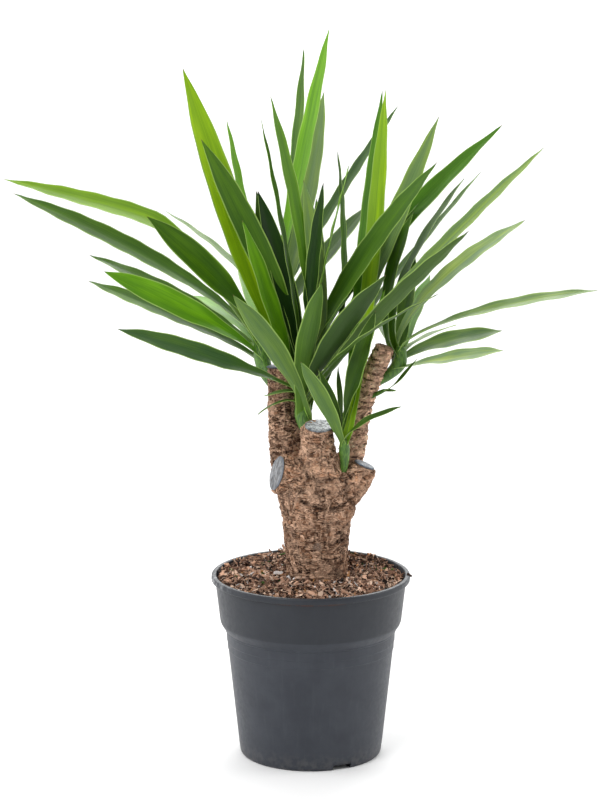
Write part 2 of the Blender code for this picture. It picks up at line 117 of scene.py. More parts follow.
class Finish(Nodes):
    """A material built round one Principled shader.

    Coats of colour and bumps are laid one over another, and finish joins them to the shader.
    """

    def __init__(self, name, roughness, **fixed):
        self.material = bpy.data.materials.new(name)
        self.material.use_nodes = True
        super().__init__(self.material.node_tree)
        self.shader = self.tree.nodes["Principled BSDF"]
        self.shader.inputs["Roughness"].default_value = roughness
        self.colour = None
        self.normal = None
        for socket, value in fixed.items():
            self.shader.inputs[socket.replace("_", " ")].default_value = value

    def cloud(self, scale, detail=3, roughness=0.55, distortion=0, stretch=None, place=None):
        """Soft noise from 0 to 1 over the object in metres, finer along an axis by its stretch."""
        place = place or self.place
        if stretch:
            place = self.node("ShaderNodeMapping", Vector=place, Scale=stretch)["Vector"]
        shape = {"Detail": detail, "Roughness": roughness, "Distortion": distortion}
        return self.node("ShaderNodeTexNoise", Vector=place, Scale=scale, **shape)["Fac"]

    def painted(self, name, output="Color"):
        """A colour that is kept on the mesh, point by point."""
        return self.node("ShaderNodeAttribute", attribute_name=name)[output]

    def maths(self, operation, *values):
        return self.node("ShaderNodeMath", *values, operation=operation)[0]

    def times(self, product, *factors):
        for factor in factors:
            product = self.maths("MULTIPLY", product, factor)
        return product

    def off(self, value, middle):
        """How far the value is from a middle one."""
        return self.maths("ABSOLUTE", self.maths("SUBTRACT", value, middle))

    def mix(self, share, a, b, blend="MIX"):
        colour = self.node("ShaderNodeMix", data_type="RGBA", blend_type=blend)[2]
        for index, value in ((0, share), (6, a), (7, b)):
            self.feed(colour.node.inputs[index], value)
        return colour

    def coat(self, share, colour, ground=None, blend="MIX"):
        """Lays a share of a colour over the ground, or over the coats so far."""
        self.colour = self.mix(share, ground or self.colour, colour, blend)

    def bump(self, height, strength, distance):
        """Adds a height to the bumps so far."""
        made = self.node("ShaderNodeBump", Height=height, Strength=strength, Distance=distance)["Normal"]
        if self.normal:
            self.feed(made.node.inputs["Normal"], self.normal)
        self.normal = made

    def finish(self, roughness=None):
        for socket, value in (("Base Color", self.colour), ("Roughness", roughness), ("Normal", self.normal)):
            if value is not None:
                self.feed(self.shader.inputs[socket], value)
        return self.material


def solid(name, points, faces, material, smooth_angle=None):
    """An object from lists of points in millimetres and faces, in the scene's collection."""
    mesh = bpy.data.meshes.new(name)
    mesh.from_pydata((np.asarray(points, float) * MM).tolist(), [], faces)
    mesh.update()
    mesh.materials.append(material)
    if smooth_angle is not None:
        mesh.shade_smooth()
        mesh.set_sharp_from_angle(angle=math.radians(smooth_angle))
    return placed(name, mesh)


def mesh_values(mesh, key):
    values = np.zeros(len(mesh.vertices) * 3)
    mesh.vertices.foreach_get(key, values)
    return values.reshape(-1, 3)


def move_points(mesh, points):
    """Moves the mesh's points to these places, in millimetres."""
    mesh.vertices.foreach_set("co", (points * MM).ravel())
    mesh.update()


def paint(mesh, name, colours):
    """Keeps a colour for each point of the mesh."""
    layer = mesh.color_attributes.new(name, "FLOAT_COLOR", "POINT")
    colours = np.asarray(colours, float)
    if colours.shape[1] == 3:
        colours = np.hstack([colours, np.ones((len(colours), 1))])
    layer.data.foreach_set("color", colours.astype(np.float32).ravel())


def joined(rows):
    """Faces between neighbouring rows of points that run round an axis. A row may be a single point."""
    faces = []
    for lower, upper in zip(rows, rows[1:]):
        sides = max(len(lower), len(upper))
        for side in range(sides):
            after = (side + 1) % sides
            if len(lower) == 1:
                faces.append((lower[0], upper[after], upper[side]))
            elif len(upper) == 1:
                faces.append((lower[side], lower[after], upper[0]))
            else:
                faces.append((lower[side], lower[after], upper[after], upper[side]))
    return faces


def bell(off, width):
    """1 where off is nought, and less to both sides of it."""
    return np.exp(-((off / width) ** 2))


paper = Finish("studio_paper", 0.9)
paper.coat(paper.cloud(0.7), (FLOOR_WHITE + 0.02,) * 3, (FLOOR_WHITE,) * 3)
floor_corners = [(FLOOR_REACH * x, FLOOR_REACH * y, 0) for x, y in ((-1, -1), (1, -1), (1, 1), (-1, 1))]
floor = solid("studio_floor", floor_corners, [(0, 1, 2, 3)], paper.finish())

SKY_FRONT = 0.42
SKY_BACK = 1.08

sky = bpy.data.worlds.new("studio_sky")
sky.use_nodes = True
sky_nodes = Nodes(sky.node_tree)
_, sky_depth, _ = sky_nodes.node("ShaderNodeSeparateXYZ", sky_nodes.node("ShaderNodeTexCoord")["Generated"])
background = sky.node_tree.nodes["Background"]
sky_nodes.feed(background.inputs["Color"], (1, 1, 1))
sky_nodes.feed(background.inputs["Strength"], sky_nodes.rescale(sky_depth, -0.9, 0.35, SKY_FRONT, SKY_BACK))
bpy.context.scene.world = sky


def soft_lamp(name, place, aim, width, power):
    """A square soft box at a place in metres, turned to face a point."""
    lamp_data = bpy.data.lights.new(name, "AREA")
    lamp_data.shape = "SQUARE"
    lamp_data.size = width
    lamp_data.energy = power
    lamp = placed(name, lamp_data)
    lamp.location = place
    lamp.rotation_euler = (Vector(aim) - Vector(place)).to_track_quat("-Z", "Y").to_euler()


PLANT_MIDDLE = (0, 0, 0.4)
soft_lamp("lamp_key", (-1.2, -1.8, 2.3), PLANT_MIDDLE, 1.3, 38)
soft_lamp("lamp_left", (-2.1, 0.2, 1), PLANT_MIDDLE, 1.1, 14)
soft_lamp("lamp_right", (2.1, 0.1, 1.1), PLANT_MIDDLE, 1.1, 14)
soft_lamp("lamp_back", (0.4, 1.9, 2), PLANT_MIDDLE, 1.5, 22)
soft_lamp("lamp_floor", (0, 13, 6), (0, 13, 0), 12, 1300)


# Pot
#
# One injection-moulded tub of blue-grey plastic: a rolled bead, a broad collar, a step with
# two faint rings under it, a foot ring and a drain channel with six holes and three notches.
POT_SIDES = 168
BEAD_FOOT = 188.5
COLLAR_FOOT = 143.7
RING_HEIGHTS = (123, 114.5)
RING_STEP = 0.60
FOOT_RADIUS = 75
WALL_TOP_RADIUS = 89.6
WALL_TOP_HEIGHT = 134.5
POT_FLOOR = 6.9
CHANNEL_LIFT = 4.5
NOTCH_ANGLES = (-64, 56, 176)
NOTCH_SIZE = (24, 21, 11)
NOTCH_CIRCLE = 69
DRAIN_COUNT = 6
DRAIN_CIRCLE = 46
DRAIN_RADIUS = 5

pot_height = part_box("pot")[1].z / MM
rim_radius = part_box("pot")[1].x / MM


def wall_radius(height):
    """The outer wall's radius under the step, in millimetres."""
    return FOOT_RADIUS + (WALL_TOP_RADIUS - FOOT_RADIUS) * height / WALL_TOP_HEIGHT


def filleted(corners, steps=4):
    """An outline through (radius, height, fillet) corners, each rounded by its fillet."""
    outline = []
    for index, (x, z, fillet) in enumerate(corners):
        corner = Vector((x, z))
        if fillet == 0:
            outline.append(tuple(corner))
            continue
        before = Vector(corners[index - 1][:2]) - corner
        after = Vector(corners[index + 1][:2]) - corner
        reach = min(fillet, before.length * 0.48, after.length * 0.48)
        start = corner + before.normalized() * reach
        end = corner + after.normalized() * reach
        for step in range(steps + 1):
            t = step / steps
            outline.append(tuple(start.lerp(corner, t).lerp(corner.lerp(end, t), t)))
    return outline


def lathe(name, outline, sides, material, smooth_angle=30):
    """Turns an outline of (radius, height) in millimetres that starts and ends on the axis."""
    points = []
    rows = []
    for radius, height in outline:
        corners = sides if radius > 0.001 else 1
        rows.append(range(len(points), len(points) + corners))
        for side in range(corners):
            angle = math.tau * side / sides
            points.append((radius * math.cos(angle), radius * math.sin(angle), height))
    return solid(name, points, joined(rows), material, smooth_angle)


plastic = Finish("blue_grey_moulded_plastic", 0.42, Specular_IOR_Level=0.32)
pot_x, _, pot_z = plastic.node("ShaderNodeSeparateXYZ", plastic.place)
pot_mottle = plastic.cloud(34, 4)
pot_streaks = plastic.cloud(1, stretch=(190, 190, 9))
plastic.coat(plastic.rescale(pot_mottle, 0.35, 0.65), (0.035, 0.040, 0.051), (0.027, 0.031, 0.041))
plastic.coat(plastic.rescale(pot_streaks, 0.55, 0.75, 0, 0.22), (0.058, 0.064, 0.076))
# The collar above its foot is painted darker than the wall below: painted shade.
plastic.coat(plastic.rescale(pot_z, 0.1436, 0.1446, 0, 0.55), (0.012, 0.014, 0.018))
# The bead is worn pale at its left and right ends, with a painted reflection there as well, and has dried mud
# under it in front
worn_and_reflection = plastic.times(
    plastic.rescale(pot_z, 0.1878, 0.1915),
    plastic.rescale(plastic.cloud(95, 5, 0.7), 0.46, 0.62),
    plastic.maths(
        "MAXIMUM", plastic.rescale(pot_x, -0.082, -0.097), plastic.rescale(pot_x, 0.088, 0.104, 0, 0.6)
    ),
    0.62,
)
# Pale worn plastic with painted reflection at the bead's two ends.
plastic.coat(worn_and_reflection, (0.30, 0.31, 0.32))
mud = plastic.times(
    plastic.rescale(pot_z, 0.1858, 0.1876),
    plastic.rescale(pot_z, 0.1895, 0.1884),
    plastic.rescale(plastic.cloud(60, 5, 0.7), 0.46, 0.54),
    plastic.rescale(plastic.maths("ABSOLUTE", pot_x), 0.040, 0.022),
    0.8,
)
plastic.coat(mud, (0.060, 0.020, 0.010))
dust = plastic.rescale(plastic.cloud(160, 4), 0.42, 0.62)
plastic.coat(plastic.times(plastic.rescale(pot_z, 0.022, 0), dust, 0.2), (0.22, 0.20, 0.18))
plastic.bump(plastic.cloud(1400, 2), 0.22, 0.00025)
plastic.bump(pot_streaks, 0.10, 0.0004)
pot_plastic = plastic.finish(plastic.rescale(plastic.cloud(220, 3), 0.3, 0.7, 0.40, 0.52))

rings = []
for ring_height in RING_HEIGHTS:
    radius = wall_radius(ring_height)
    rings += [(radius + RING_STEP, ring_height + 0.9, 0.3), (radius, ring_height, 0.3)]
pot_outline = [
    (0, POT_FLOOR, 0),
    (wall_radius(POT_FLOOR) - 2.2, POT_FLOOR, 3),
    (84.6, 120, 2),
    (87.4, WALL_TOP_HEIGHT, 2),
    (93.5, COLLAR_FOOT, 3),
    (98.6, BEAD_FOOT, 1),
    (100.1, pot_height, 1),
    (rim_radius, pot_height, 2.4),
    (rim_radius, BEAD_FOOT, 2.2),
    (101.3, BEAD_FOOT, 0.8),
    (100.7, BEAD_FOOT - 1.6, 0.8),
    (95.7, COLLAR_FOOT, 3.2),
    (90.3, 135.6, 0.6),
    (90.3, 134.1, 0.5),
    (WALL_TOP_RADIUS - 0.3, 133.4, 0.4),
    *rings,
    *[(wall_radius(height), height, 0) for height in (90, 60, 34, 18, 12)],
    (FOOT_RADIUS, 2.6, 1.6),
    (FOOT_RADIUS - 1.6, 0, 1.2),
    (63, 0, 0.5),
    (62, CHANNEL_LIFT, 0.8),
    (31, CHANNEL_LIFT, 0.8),
    (30, 0, 0.5),
    (0, 0, 0),
]
pot = lathe("pot_moulding", filleted(pot_outline), POT_SIDES, pot_plastic)


def cut(obj, cutters):
    """Takes the cutters out of an object for good, then deletes them."""
    for cutter in cutters:
        tool = obj.modifiers.new("cut", "BOOLEAN")
        tool.operation = "DIFFERENCE"
        tool.solver = "EXACT"
        tool.object = cutter
    bake_modifiers(obj)
    for cutter in cutters:
        bpy.data.objects.remove(cutter, do_unlink=True)


def bake_modifiers(obj):
    graph = bpy.context.evaluated_depsgraph_get()
    graph.update()
    made = bpy.data.meshes.new_from_object(obj.evaluated_get(graph))
    obj.modifiers.clear()
    obj.data = made


pot_cutters = []
for angle in NOTCH_ANGLES:
    bpy.ops.mesh.primitive_cube_add(size=1)
    notch = bpy.context.object
    size = Matrix.Diagonal((*[length * MM for length in NOTCH_SIZE], 1))
    turn = Matrix.Rotation(math.radians(angle), 4, "Z")
    notch.data.transform(turn @ Matrix.Translation((NOTCH_CIRCLE * MM, 0, 0)) @ size)
    pot_cutters.append(notch)
for index in range(DRAIN_COUNT):
    angle = math.tau * (index + 0.5) / DRAIN_COUNT
    place = Vector((DRAIN_CIRCLE * math.cos(angle), DRAIN_CIRCLE * math.sin(angle), CHANNEL_LIFT)) * MM
    size = {"radius": DRAIN_RADIUS * MM, "depth": 12 * MM}
    bpy.ops.mesh.primitive_cylinder_add(vertices=28, location=place, **size)
    pot_cutters.append(bpy.context.object)
cut(pot, pot_cutters)
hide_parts("pot")
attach(pot, "root")


# Soil
#
# Coarse potting mix of peat, bark and coir chips, tipped in and pressed down by hand. It sits
# just under the rim, with dark hollows between reddish chips, pale fibres and a few grey grains.
SOIL_EDGE = 189
SOIL_CROWN = 5
SOIL_RADIUS = 98
SOIL_SIDES = 240
SOIL_RINGS = 66
CHIP_COUNT = 7000
FIBRE_COUNT = 900
CHIP_TONES = (
    ((0.026, 0.014, 0.010), 0.15),
    ((0.115, 0.062, 0.041), 0.17),
    ((0.270, 0.152, 0.100), 0.24),
    ((0.450, 0.265, 0.178), 0.22),
    ((0.640, 0.450, 0.335), 0.15),
    ((0.560, 0.520, 0.500), 0.03),
    ((0.450, 0.215, 0.085), 0.03),
    ((0.060, 0.130, 0.022), 0.01),
)
STRAY_TONE = (0.060, 0.034, 0.026)
STRAY_SIZE = (3.4, 1.7, 1.1)
STRAY_TURN = (1.1, 0.5, 0.4)
STRAY_PLACE = (104.2, -5, pot_height - 0.6)
CANE_X = 6.5
CANE_RADIUS = 31


def clouds(points, size, seed):
    """Smooth noise of about -1 to 1 at each point, with lumps about this size."""
    shift = Vector((13.7 * seed, -7.3 * seed, 3.1 * seed))
    return np.array([noise.noise(Vector(point) / size + shift) for point in points])


def soil_top(x, y):
    """The height of the pressed soil, in millimetres: a low crown, with lumps and hollows."""
    points = np.stack([x, y, np.zeros_like(x)], axis=1)
    reach = np.minimum(1, np.hypot(x, y) / SOIL_RADIUS)
    ground = SOIL_EDGE + SOIL_CROWN * (1 - reach ** 2)
    ground += 2.6 * clouds(points, 26, 1) + 3.4 * clouds(points, 10, 2) + 2 * clouds(points, 4.2, 3)
    cane = np.hypot(x - CANE_X, y) - CANE_RADIUS
    ground -= 2 * bell(cane, 4)
    hump = 4.2 * np.clip((y - 35) / 50, 0, 1) + 1.6 * np.clip((-x - 55) / 40, 0, 1)
    return ground + hump


earth = Finish("peat_and_bark_mix", 0.95, Specular_IOR_Level=0.2)
soil_grain = earth.cloud(620, 5, 0.7)
soil_patch = earth.cloud(90, 3)
earth.coat(earth.rescale(soil_grain, 0.38, 0.68), (0.085, 0.040, 0.024), (0.012, 0.006, 0.004))
earth.coat(earth.rescale(soil_patch, 0.45, 0.7, 0, 0.5), (0.045, 0.022, 0.014))
earth.bump(soil_grain, 0.8, 0.0012)

soil_outline = [(SOIL_RADIUS * ring / SOIL_RINGS, SOIL_EDGE) for ring in range(SOIL_RINGS + 1)]
soil_outline += [(93.2, COLLAR_FOOT), (87.1, WALL_TOP_HEIGHT), (84.3, 120), (73.2, 7.2), (0, 7.2)]
soil = lathe("soil_body", soil_outline, SOIL_SIDES, earth.finish(), 60)
soil_points = mesh_values(soil.data, "co") / MM
on_top = soil_points[:, 2] > SOIL_EDGE - 0.1
soil_points[on_top, 2] = soil_top(soil_points[on_top, 0], soil_points[on_top, 1])
move_points(soil.data, soil_points)
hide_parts("soil")
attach(soil, "root")


def turned_about(yaw, pitch, roll):
    """Rotation matrices for arrays of angles: roll about X, then pitch about Y, then yaw about Z."""
    cy, sy = np.cos(yaw), np.sin(yaw)
    cp, sp = np.cos(pitch), np.sin(pitch)
    cr, sr = np.cos(roll), np.sin(roll)
    rows = [
        [cy * cp, cy * sp * sr - sy * cr, cy * sp * cr + sy * sr],
        [sy * cp, sy * sp * sr + cy * cr, sy * sp * cr - cy * sr],
        [-sp, cp * sr, cp * cr],
    ]
    return np.array([[np.broadcast_to(cell, yaw.shape) for cell in row] for row in rows]).transpose(2, 0, 1)


def scattered(draw, count, spread):
    """Random places on the soil, in millimetres, outside the cane."""
    radius = spread * np.sqrt(draw.random(count * 2))
    angle = draw.random(count * 2) * math.tau
    x, y = radius * np.cos(angle), radius * np.sin(angle)
    free = np.hypot(x - CANE_X, y) > CANE_RADIUS + 0.5
    return x[free][:count], y[free][:count]


def inside_the_bead(points):
    """Pulls points that would pass through the pot's wall back inside it."""
    radius = np.hypot(points[..., 0], points[..., 1])
    height = points[..., 2]
    inner = np.interp(height, [COLLAR_FOOT, BEAD_FOOT, 195], [93, 98, 99.4])
    limit = np.where(height > 195.3, 103.5, inner)
    pull = np.minimum(1, limit / np.maximum(radius, 0.01))
    points[..., 0] *= pull
    points[..., 1] *= pull
    return points


CHIP_CORNERS = np.array([(x, y, z) for x in (-1, 1) for y in (-1, 1) for z in (-1, 1)], float)
CHIP_FACES = np.array([(0, 1, 3, 2), (4, 6, 7, 5), (0, 4, 5, 1), (2, 3, 7, 6), (0, 2, 6, 4), (1, 5, 7, 3)])

draw = np.random.default_rng(7)
chip_x, chip_y = scattered(draw, CHIP_COUNT, 97)
chips = len(chip_x)
lengths = np.clip(draw.lognormal(1.48, 0.45, chips), 1.6, 12)
widths = lengths * draw.uniform(0.18, 0.50, chips)
thicks = np.clip(widths * draw.uniform(0.25, 0.7, chips), 0.3, 1.6)
corners = CHIP_CORNERS * np.stack([lengths, widths, thicks], axis=1)[:, None, :] / 2
corners *= draw.uniform(0.55, 1.15, corners.shape)
turns = turned_about(draw.uniform(0, math.tau, chips), draw.normal(0, 0.5, chips), draw.normal(0, 0.6, chips))
corners = np.einsum("nij,nkj->nki", turns, corners)
lift = draw.uniform(-1, 3, chips)
middles = np.stack([chip_x, chip_y, soil_top(chip_x, chip_y) + lift], axis=1)
corners = inside_the_bead(corners + middles[:, None, :])
tones = np.array([tone for tone, _ in CHIP_TONES])
shares = np.array([share for _, share in CHIP_TONES])
picked = tones[draw.choice(len(tones), chips, p=shares / shares.sum())]
# Chips that lie low in the soil are painted darker and those on top lighter: painted shade in the hollows and
# painted light on the tops.
picked = picked * draw.uniform(0.7, 1.35, (chips, 1)) * np.clip(0.50 + 0.30 * lift, 0.22, 1.25)[:, None]
# One dark chip has been left lying on the bead
stray = CHIP_CORNERS * STRAY_SIZE @ turned_about(*np.array(STRAY_TURN)[:, None])[0].T
corners = np.concatenate([corners, [stray + STRAY_PLACE]])
picked = np.concatenate([picked, [STRAY_TONE]])
faces = (CHIP_FACES + 8 * np.arange(len(corners))[:, None, None]).reshape(-1, 4)

chip_coat = Finish("bark_chips", 0.88, Specular_IOR_Level=0.25)
chip_grain = chip_coat.cloud(1300, stretch=(1, 1, 2.6))
chip_tone = chip_coat.painted("tone")
chip_coat.coat(chip_coat.rescale(chip_grain, 0.3, 0.7, 0, 0.6), (0, 0, 0), chip_tone)
chip_coat.coat(0.5, chip_tone)
chip_coat.bump(chip_grain, 0.6, 0.0006)
bark_chip = chip_coat.finish()
soil_chips = solid("soil_chips", corners.reshape(-1, 3), faces.tolist(), bark_chip)
paint(soil_chips.data, "tone", np.repeat(picked, 8, axis=0))
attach(soil_chips, "root")


def strands(paths, radii):
    """Three-sided strands of even length in points: paths is (count, points, 3), radii is (count,)."""
    count, steps, _ = paths.shape
    along = np.gradient(paths, axis=1)
    along /= np.linalg.norm(along, axis=2, keepdims=True)
    side = np.cross(along, (0.3, 0.2, 1))
    side /= np.linalg.norm(side, axis=2, keepdims=True)
    up = np.cross(side, along)
    taper = np.sin(np.linspace(0.25, math.pi - 0.25, steps))[None, :, None] * radii[:, None, None]
    rims = []
    for angle in (0, math.tau / 3, math.tau * 2 / 3):
        rims.append(paths + taper * (side * math.cos(angle) + up * math.sin(angle)))
    points = np.stack(rims, axis=2).reshape(-1, 3)
    faces = []
    for first in range(0, count * steps * 3, steps * 3):
        rows = [range(first + 3 * step, first + 3 * step + 3) for step in range(steps)]
        faces += [tuple(rows[0])[::-1], *joined(rows), tuple(rows[-1])]
    return points, faces


FIBRE_STEPS = 7
fibre_x, fibre_y = scattered(draw, FIBRE_COUNT, 93)
fibres = len(fibre_x)
heading = draw.uniform(0, math.tau, fibres)
curl = draw.normal(0, 0.9, fibres)
reach = draw.uniform(5, 19, fibres)
step_share = np.linspace(-0.5, 0.5, FIBRE_STEPS)[None, :]
bearing = heading[:, None] + curl[:, None] * step_share
run = np.cumsum(np.cos(bearing), axis=1) * reach[:, None] / FIBRE_STEPS
rise = np.cumsum(np.sin(bearing), axis=1) * reach[:, None] / FIBRE_STEPS
line_x = fibre_x[:, None] + run - run.mean(axis=1, keepdims=True)
line_y = fibre_y[:, None] + rise - rise.mean(axis=1, keepdims=True)
line_z = soil_top(line_x.ravel(), line_y.ravel()).reshape(line_x.shape)
line_z += draw.uniform(0.6, 2.2, fibres)[:, None] + 0.8 * np.cos(step_share * math.pi * 2)
paths = inside_the_bead(np.stack([line_x, line_y, line_z], axis=2))
points, faces = strands(paths, draw.uniform(0.16, 0.36, fibres))
soil_fibres = solid("soil_fibres", points, faces, bark_chip)
fibre_tone = tones[draw.choice([2, 3, 4, 4, 3, 1], fibres)] * draw.uniform(0.7, 1.3, (fibres, 1))
paint(soil_fibres.data, "tone", np.repeat(fibre_tone, FIBRE_STEPS * 3, axis=0))
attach(soil_fibres, "root")


# Trunk
#
# An old cane sawn off to make it branch: a shank ringed by the scars of fallen leaves and split
# into corky plates, a swollen knob, three sawn stubs and two branches that carry the heads.
TRUNK_VOXEL = 0.00108
CANE_SCAR_PITCH = 10.5
BRANCH_SCAR_PITCH = 8
LIMB_SIDES = 40
LINE_STEPS = 22
SADDLE = 3.2
SETTLING_PASSES = 4


class Limb(NamedTuple):
    """A stretch of wood: points that it runs through and radii along it, in millimetres.

    Pitch is the way from one band of bark to the next, peel how boldly the bands stand out, and
    cork how strong the pale corky veins are.
    """

    points: tuple
    radii: tuple
    pitch: float
    peel: float
    cork: float
    tint: tuple


SHANK_FOOT = (6.5, 0, 100)
CANE_BARK = (0.330, 0.165, 0.092)
KNOB_BARK = (0.510, 0.262, 0.150)
SHADED_BARK = (0.220, 0.105, 0.056)
PALE_BARK = (0.900, 0.550, 0.375)
LIMBS = {
    "cane": Limb(
        ((6.5, 0, 198), (6, 0, 236), (7, 1, 270), (9, 2, 300)),
        (31, 32.3, 33.5, 35.5, 38, 34, 18), CANE_SCAR_PITCH, 0.85, 1, CANE_BARK,
    ),
    "stub_left": Limb(
        ((8, 2, 276), (-8, -3, 292), (-24, -8.5, 302.3), (-35, -12, 306)),
        (28, 25, 21, 17.3), CANE_SCAR_PITCH, 0.7, 0, KNOB_BARK,
    ),
    "stub_centre": Limb(
        ((8, -7, 284), (8, -3, 312), (8, 2, 338), (8.5, -2, 354)),
        (24, 23.5, 18.3, 15.4, 14.2), BRANCH_SCAR_PITCH, 0.7, 0, KNOB_BARK,
    ),
    "stub_right": Limb(
        ((26, 0, 282), (42, 3, 292), (52.5, 4, 303), (56, 4, 311)),
        (22, 18.5, 14.5, 10.5), BRANCH_SCAR_PITCH, 0.7, 0, KNOB_BARK,
    ),
    "shoot_foot": Limb(
        ((8, 4, 318), (1, 8, 337), (-3, 13, 352)),
        (12, 10, 7.5), BRANCH_SCAR_PITCH, 0.6, 0, KNOB_BARK,
    ),
    "branch_left": Limb(
        ((-10, 16, 276), (-24, 33, 310), (-28, 42, 360), (-30, 46, 408)),
        (24, 18.5, 16.8, 16), BRANCH_SCAR_PITCH, 0.8, 0, SHADED_BARK,
    ),
    "branch_right": Limb(
        ((24, 18, 274), (41, 33, 310), (53.5, 29, 372), (77.5, 22, 434)),
        (21, 14, 12.2, 9.8), BRANCH_SCAR_PITCH, 1.25, 0, PALE_BARK,
    ),
}


def on_curve(points, t):
    """A point at t from 0 to 1 on the smooth curve through these points, and its direction there."""
    spans = len(points) - 1
    index = min(int(t * spans), spans - 1)
    s = t * spans - index
    before, start, end, after = (points[min(max(index + step, 0), spans)] for step in (-1, 0, 1, 2))
    enter = (end - before) / 2
    leave = (after - start) / 2
    bend = 3 * (end - start) - 2 * enter - leave
    twist = 2 * (start - end) + enter + leave
    point = start + s * (enter + s * (bend + s * twist))
    direction = enter + s * (2 * bend + s * 3 * twist)
    return point, direction.normalized()


def sampled(points, radii, steps):
    """Centres, directions and radii at even steps along a limb or a stem."""
    places = [Vector(point) for point in points]
    shares = [step / steps for step in range(steps + 1)]
    centres, directions = zip(*(on_curve(places, share) for share in shares))
    return centres, directions, np.interp(shares, np.linspace(0, 1, len(radii)), radii).tolist()


def ring_axes(direction):
    side = direction.cross(Vector((0.13, 1, 0.07))).normalized()
    return side, direction.cross(side)


def tube(centres, directions, radii, sides):
    """A closed tube through its centres, with flat ends, in millimetres."""
    points = []
    rows = []
    for centre, direction, radius in zip(centres, directions, radii):
        side, front = ring_axes(direction)
        rows.append(range(len(points), len(points) + sides))
        for step in range(sides):
            angle = math.tau * step / sides
            points.append(centre + radius * (side * math.cos(angle) + front * math.sin(angle)))
    return points, [tuple(rows[0])[::-1], *joined(rows), tuple(rows[-1])]


def gathered(shapes):
    """The points and faces of many shapes as those of one."""
    all_points = []
    all_faces = []
    for points, faces in shapes:
        base = len(all_points)
        all_points += points
        all_faces += [tuple(base + corner for corner in face) for face in faces]
    return all_points, all_faces


limb_lines = {}
for name, limb in LIMBS.items():
    centres, directions, radii = sampled(limb.points, limb.radii, LINE_STEPS)
    if name == "cane":
        centres = (Vector(SHANK_FOOT), *centres)
        directions = (Vector((0, 0, 1)), *directions)
        radii = (CANE_RADIUS, *radii)
    limb_lines[name] = (centres, directions, radii)

bark = Finish("corky_cane_bark", 0.86, Specular_IOR_Level=0.14)
bark_fibre = bark.cloud(520, 4, 0.68, 0.6, (1, 1, 2.6))
bark_cork = bark.cloud(700, 4, 0.7, 0.3)
bark_tone = bark.painted("bark")
bark.coat(bark.rescale(bark_fibre, 0.50, 0.34, 0, 0.55), (0.050, 0.022, 0.012), bark_tone)
bark.coat(bark.rescale(bark_fibre, 0.54, 0.70, 0, 0.45), (0.56, 0.370, 0.255))
bark.bump(bark_cork, 0.6, 0.0008)
bark.bump(bark_fibre, 0.9, 0.0010)
# Pale threads and dark grooves follow the noise's contour lines, level, slanting and upright
for squash, fine, bend, share in ((2.8, 58, 0.9, 1), (1.9, 105, 1, 0.9), (0.45, 62, 0.8, 0.60)):
    field = bark.cloud(fine, 1.6, 0.5, bend, (1, 1, squash))
    here = bark.rescale(bark.cloud(fine * 0.8, 2), 0.36, 0.56, 0.25 * share, share)
    thread = bark.times(bark.rescale(bark.off(field, 0.47), 0.058, 0.026), here)
    groove = bark.times(bark.rescale(bark.off(field, 0.565), 0.036, 0.014), here)
    bark.coat(bark.times(groove, 0.82), (0.040, 0.017, 0.010))
    bark.coat(bark.times(thread, 0.82), (0.80, 0.510, 0.350))
    bark.bump(bark.maths("SUBTRACT", thread, groove), 1, 0.0018)
# The painted cracks, creases and seams are darkened once more here: painted shade.
calm, shadow, _ = bark.node("ShaderNodeSeparateColor", bark.painted("quiet"))
bark.coat(calm, bark_tone)
bark.coat(bark.times(shadow, 0.85), (0.024, 0.011, 0.006))

trunk_shape = gathered(tube(*line, LIMB_SIDES) for line in limb_lines.values())
trunk = solid("cane_and_branches", *trunk_shape, bark.finish())
wrap = trunk.modifiers.new("wrap", "REMESH")
wrap.mode = "VOXEL"
wrap.voxel_size = TRUNK_VOXEL
bake_modifiers(trunk)
trunk_mesh = trunk.data
count = len(trunk_mesh.vertices)


def measure_along(skin, line):
    """For each point: its height over a limb's bark, its way along, its angle and the way out."""
    centres, directions, radii = line
    height = np.full(len(skin), 1e9)
    station = np.zeros(len(skin))
    turn = np.zeros(len(skin))
    out = np.zeros_like(skin)
    travelled = 0
    for index in range(len(centres) - 1):
        start = np.array(centres[index])
        step = np.array(centres[index + 1]) - start
        length = np.linalg.norm(step)
        share = np.clip((skin - start) @ step / length ** 2, 0, 1)
        off = skin - start - share[:, None] * step
        distance = np.maximum(np.linalg.norm(off, axis=1), 0.001)
        over = distance - (radii[index] + share * (radii[index + 1] - radii[index]))
        nearer = over < height
        side, front = (np.array(axis) for axis in ring_axes(directions[index]))
        height = np.where(nearer, over, height)
        station = np.where(nearer, travelled + share * length, station)
        turn = np.where(nearer, np.arctan2(off @ front, off @ side), turn)
        out = np.where(nearer[:, None], off / distance[:, None], out)
        travelled += length
    for index, sign in ((0, -1), (-1, 1)):
        way = np.array(directions[index]) * sign
        beyond = (skin - np.array(centres[index])) @ way
        flat = beyond > height
        height = np.where(flat, beyond, height)
        out = np.where(flat[:, None], way, out)
    return height, station, turn, out


# The limbs flow into each other with a small saddle, as wood does where it forks
skin = mesh_values(trunk_mesh, "co") / MM
for _ in range(SETTLING_PASSES):
    measured = [measure_along(skin, line) for line in limb_lines.values()]
    heights = np.stack([height for height, _, _, _ in measured])
    lowest = heights.min(axis=0)
    weights = np.exp((lowest - heights) / SADDLE)
    total = weights.sum(axis=0)
    way = sum(weight[:, None] * out for weight, (_, _, _, out) in zip(weights, measured))
    way /= np.maximum(np.linalg.norm(way, axis=1, keepdims=True), 0.2)
    skin = skin - (lowest - SADDLE * np.log(total))[:, None] * way
move_points(trunk_mesh, skin)
normals = mesh_values(trunk_mesh, "normal")
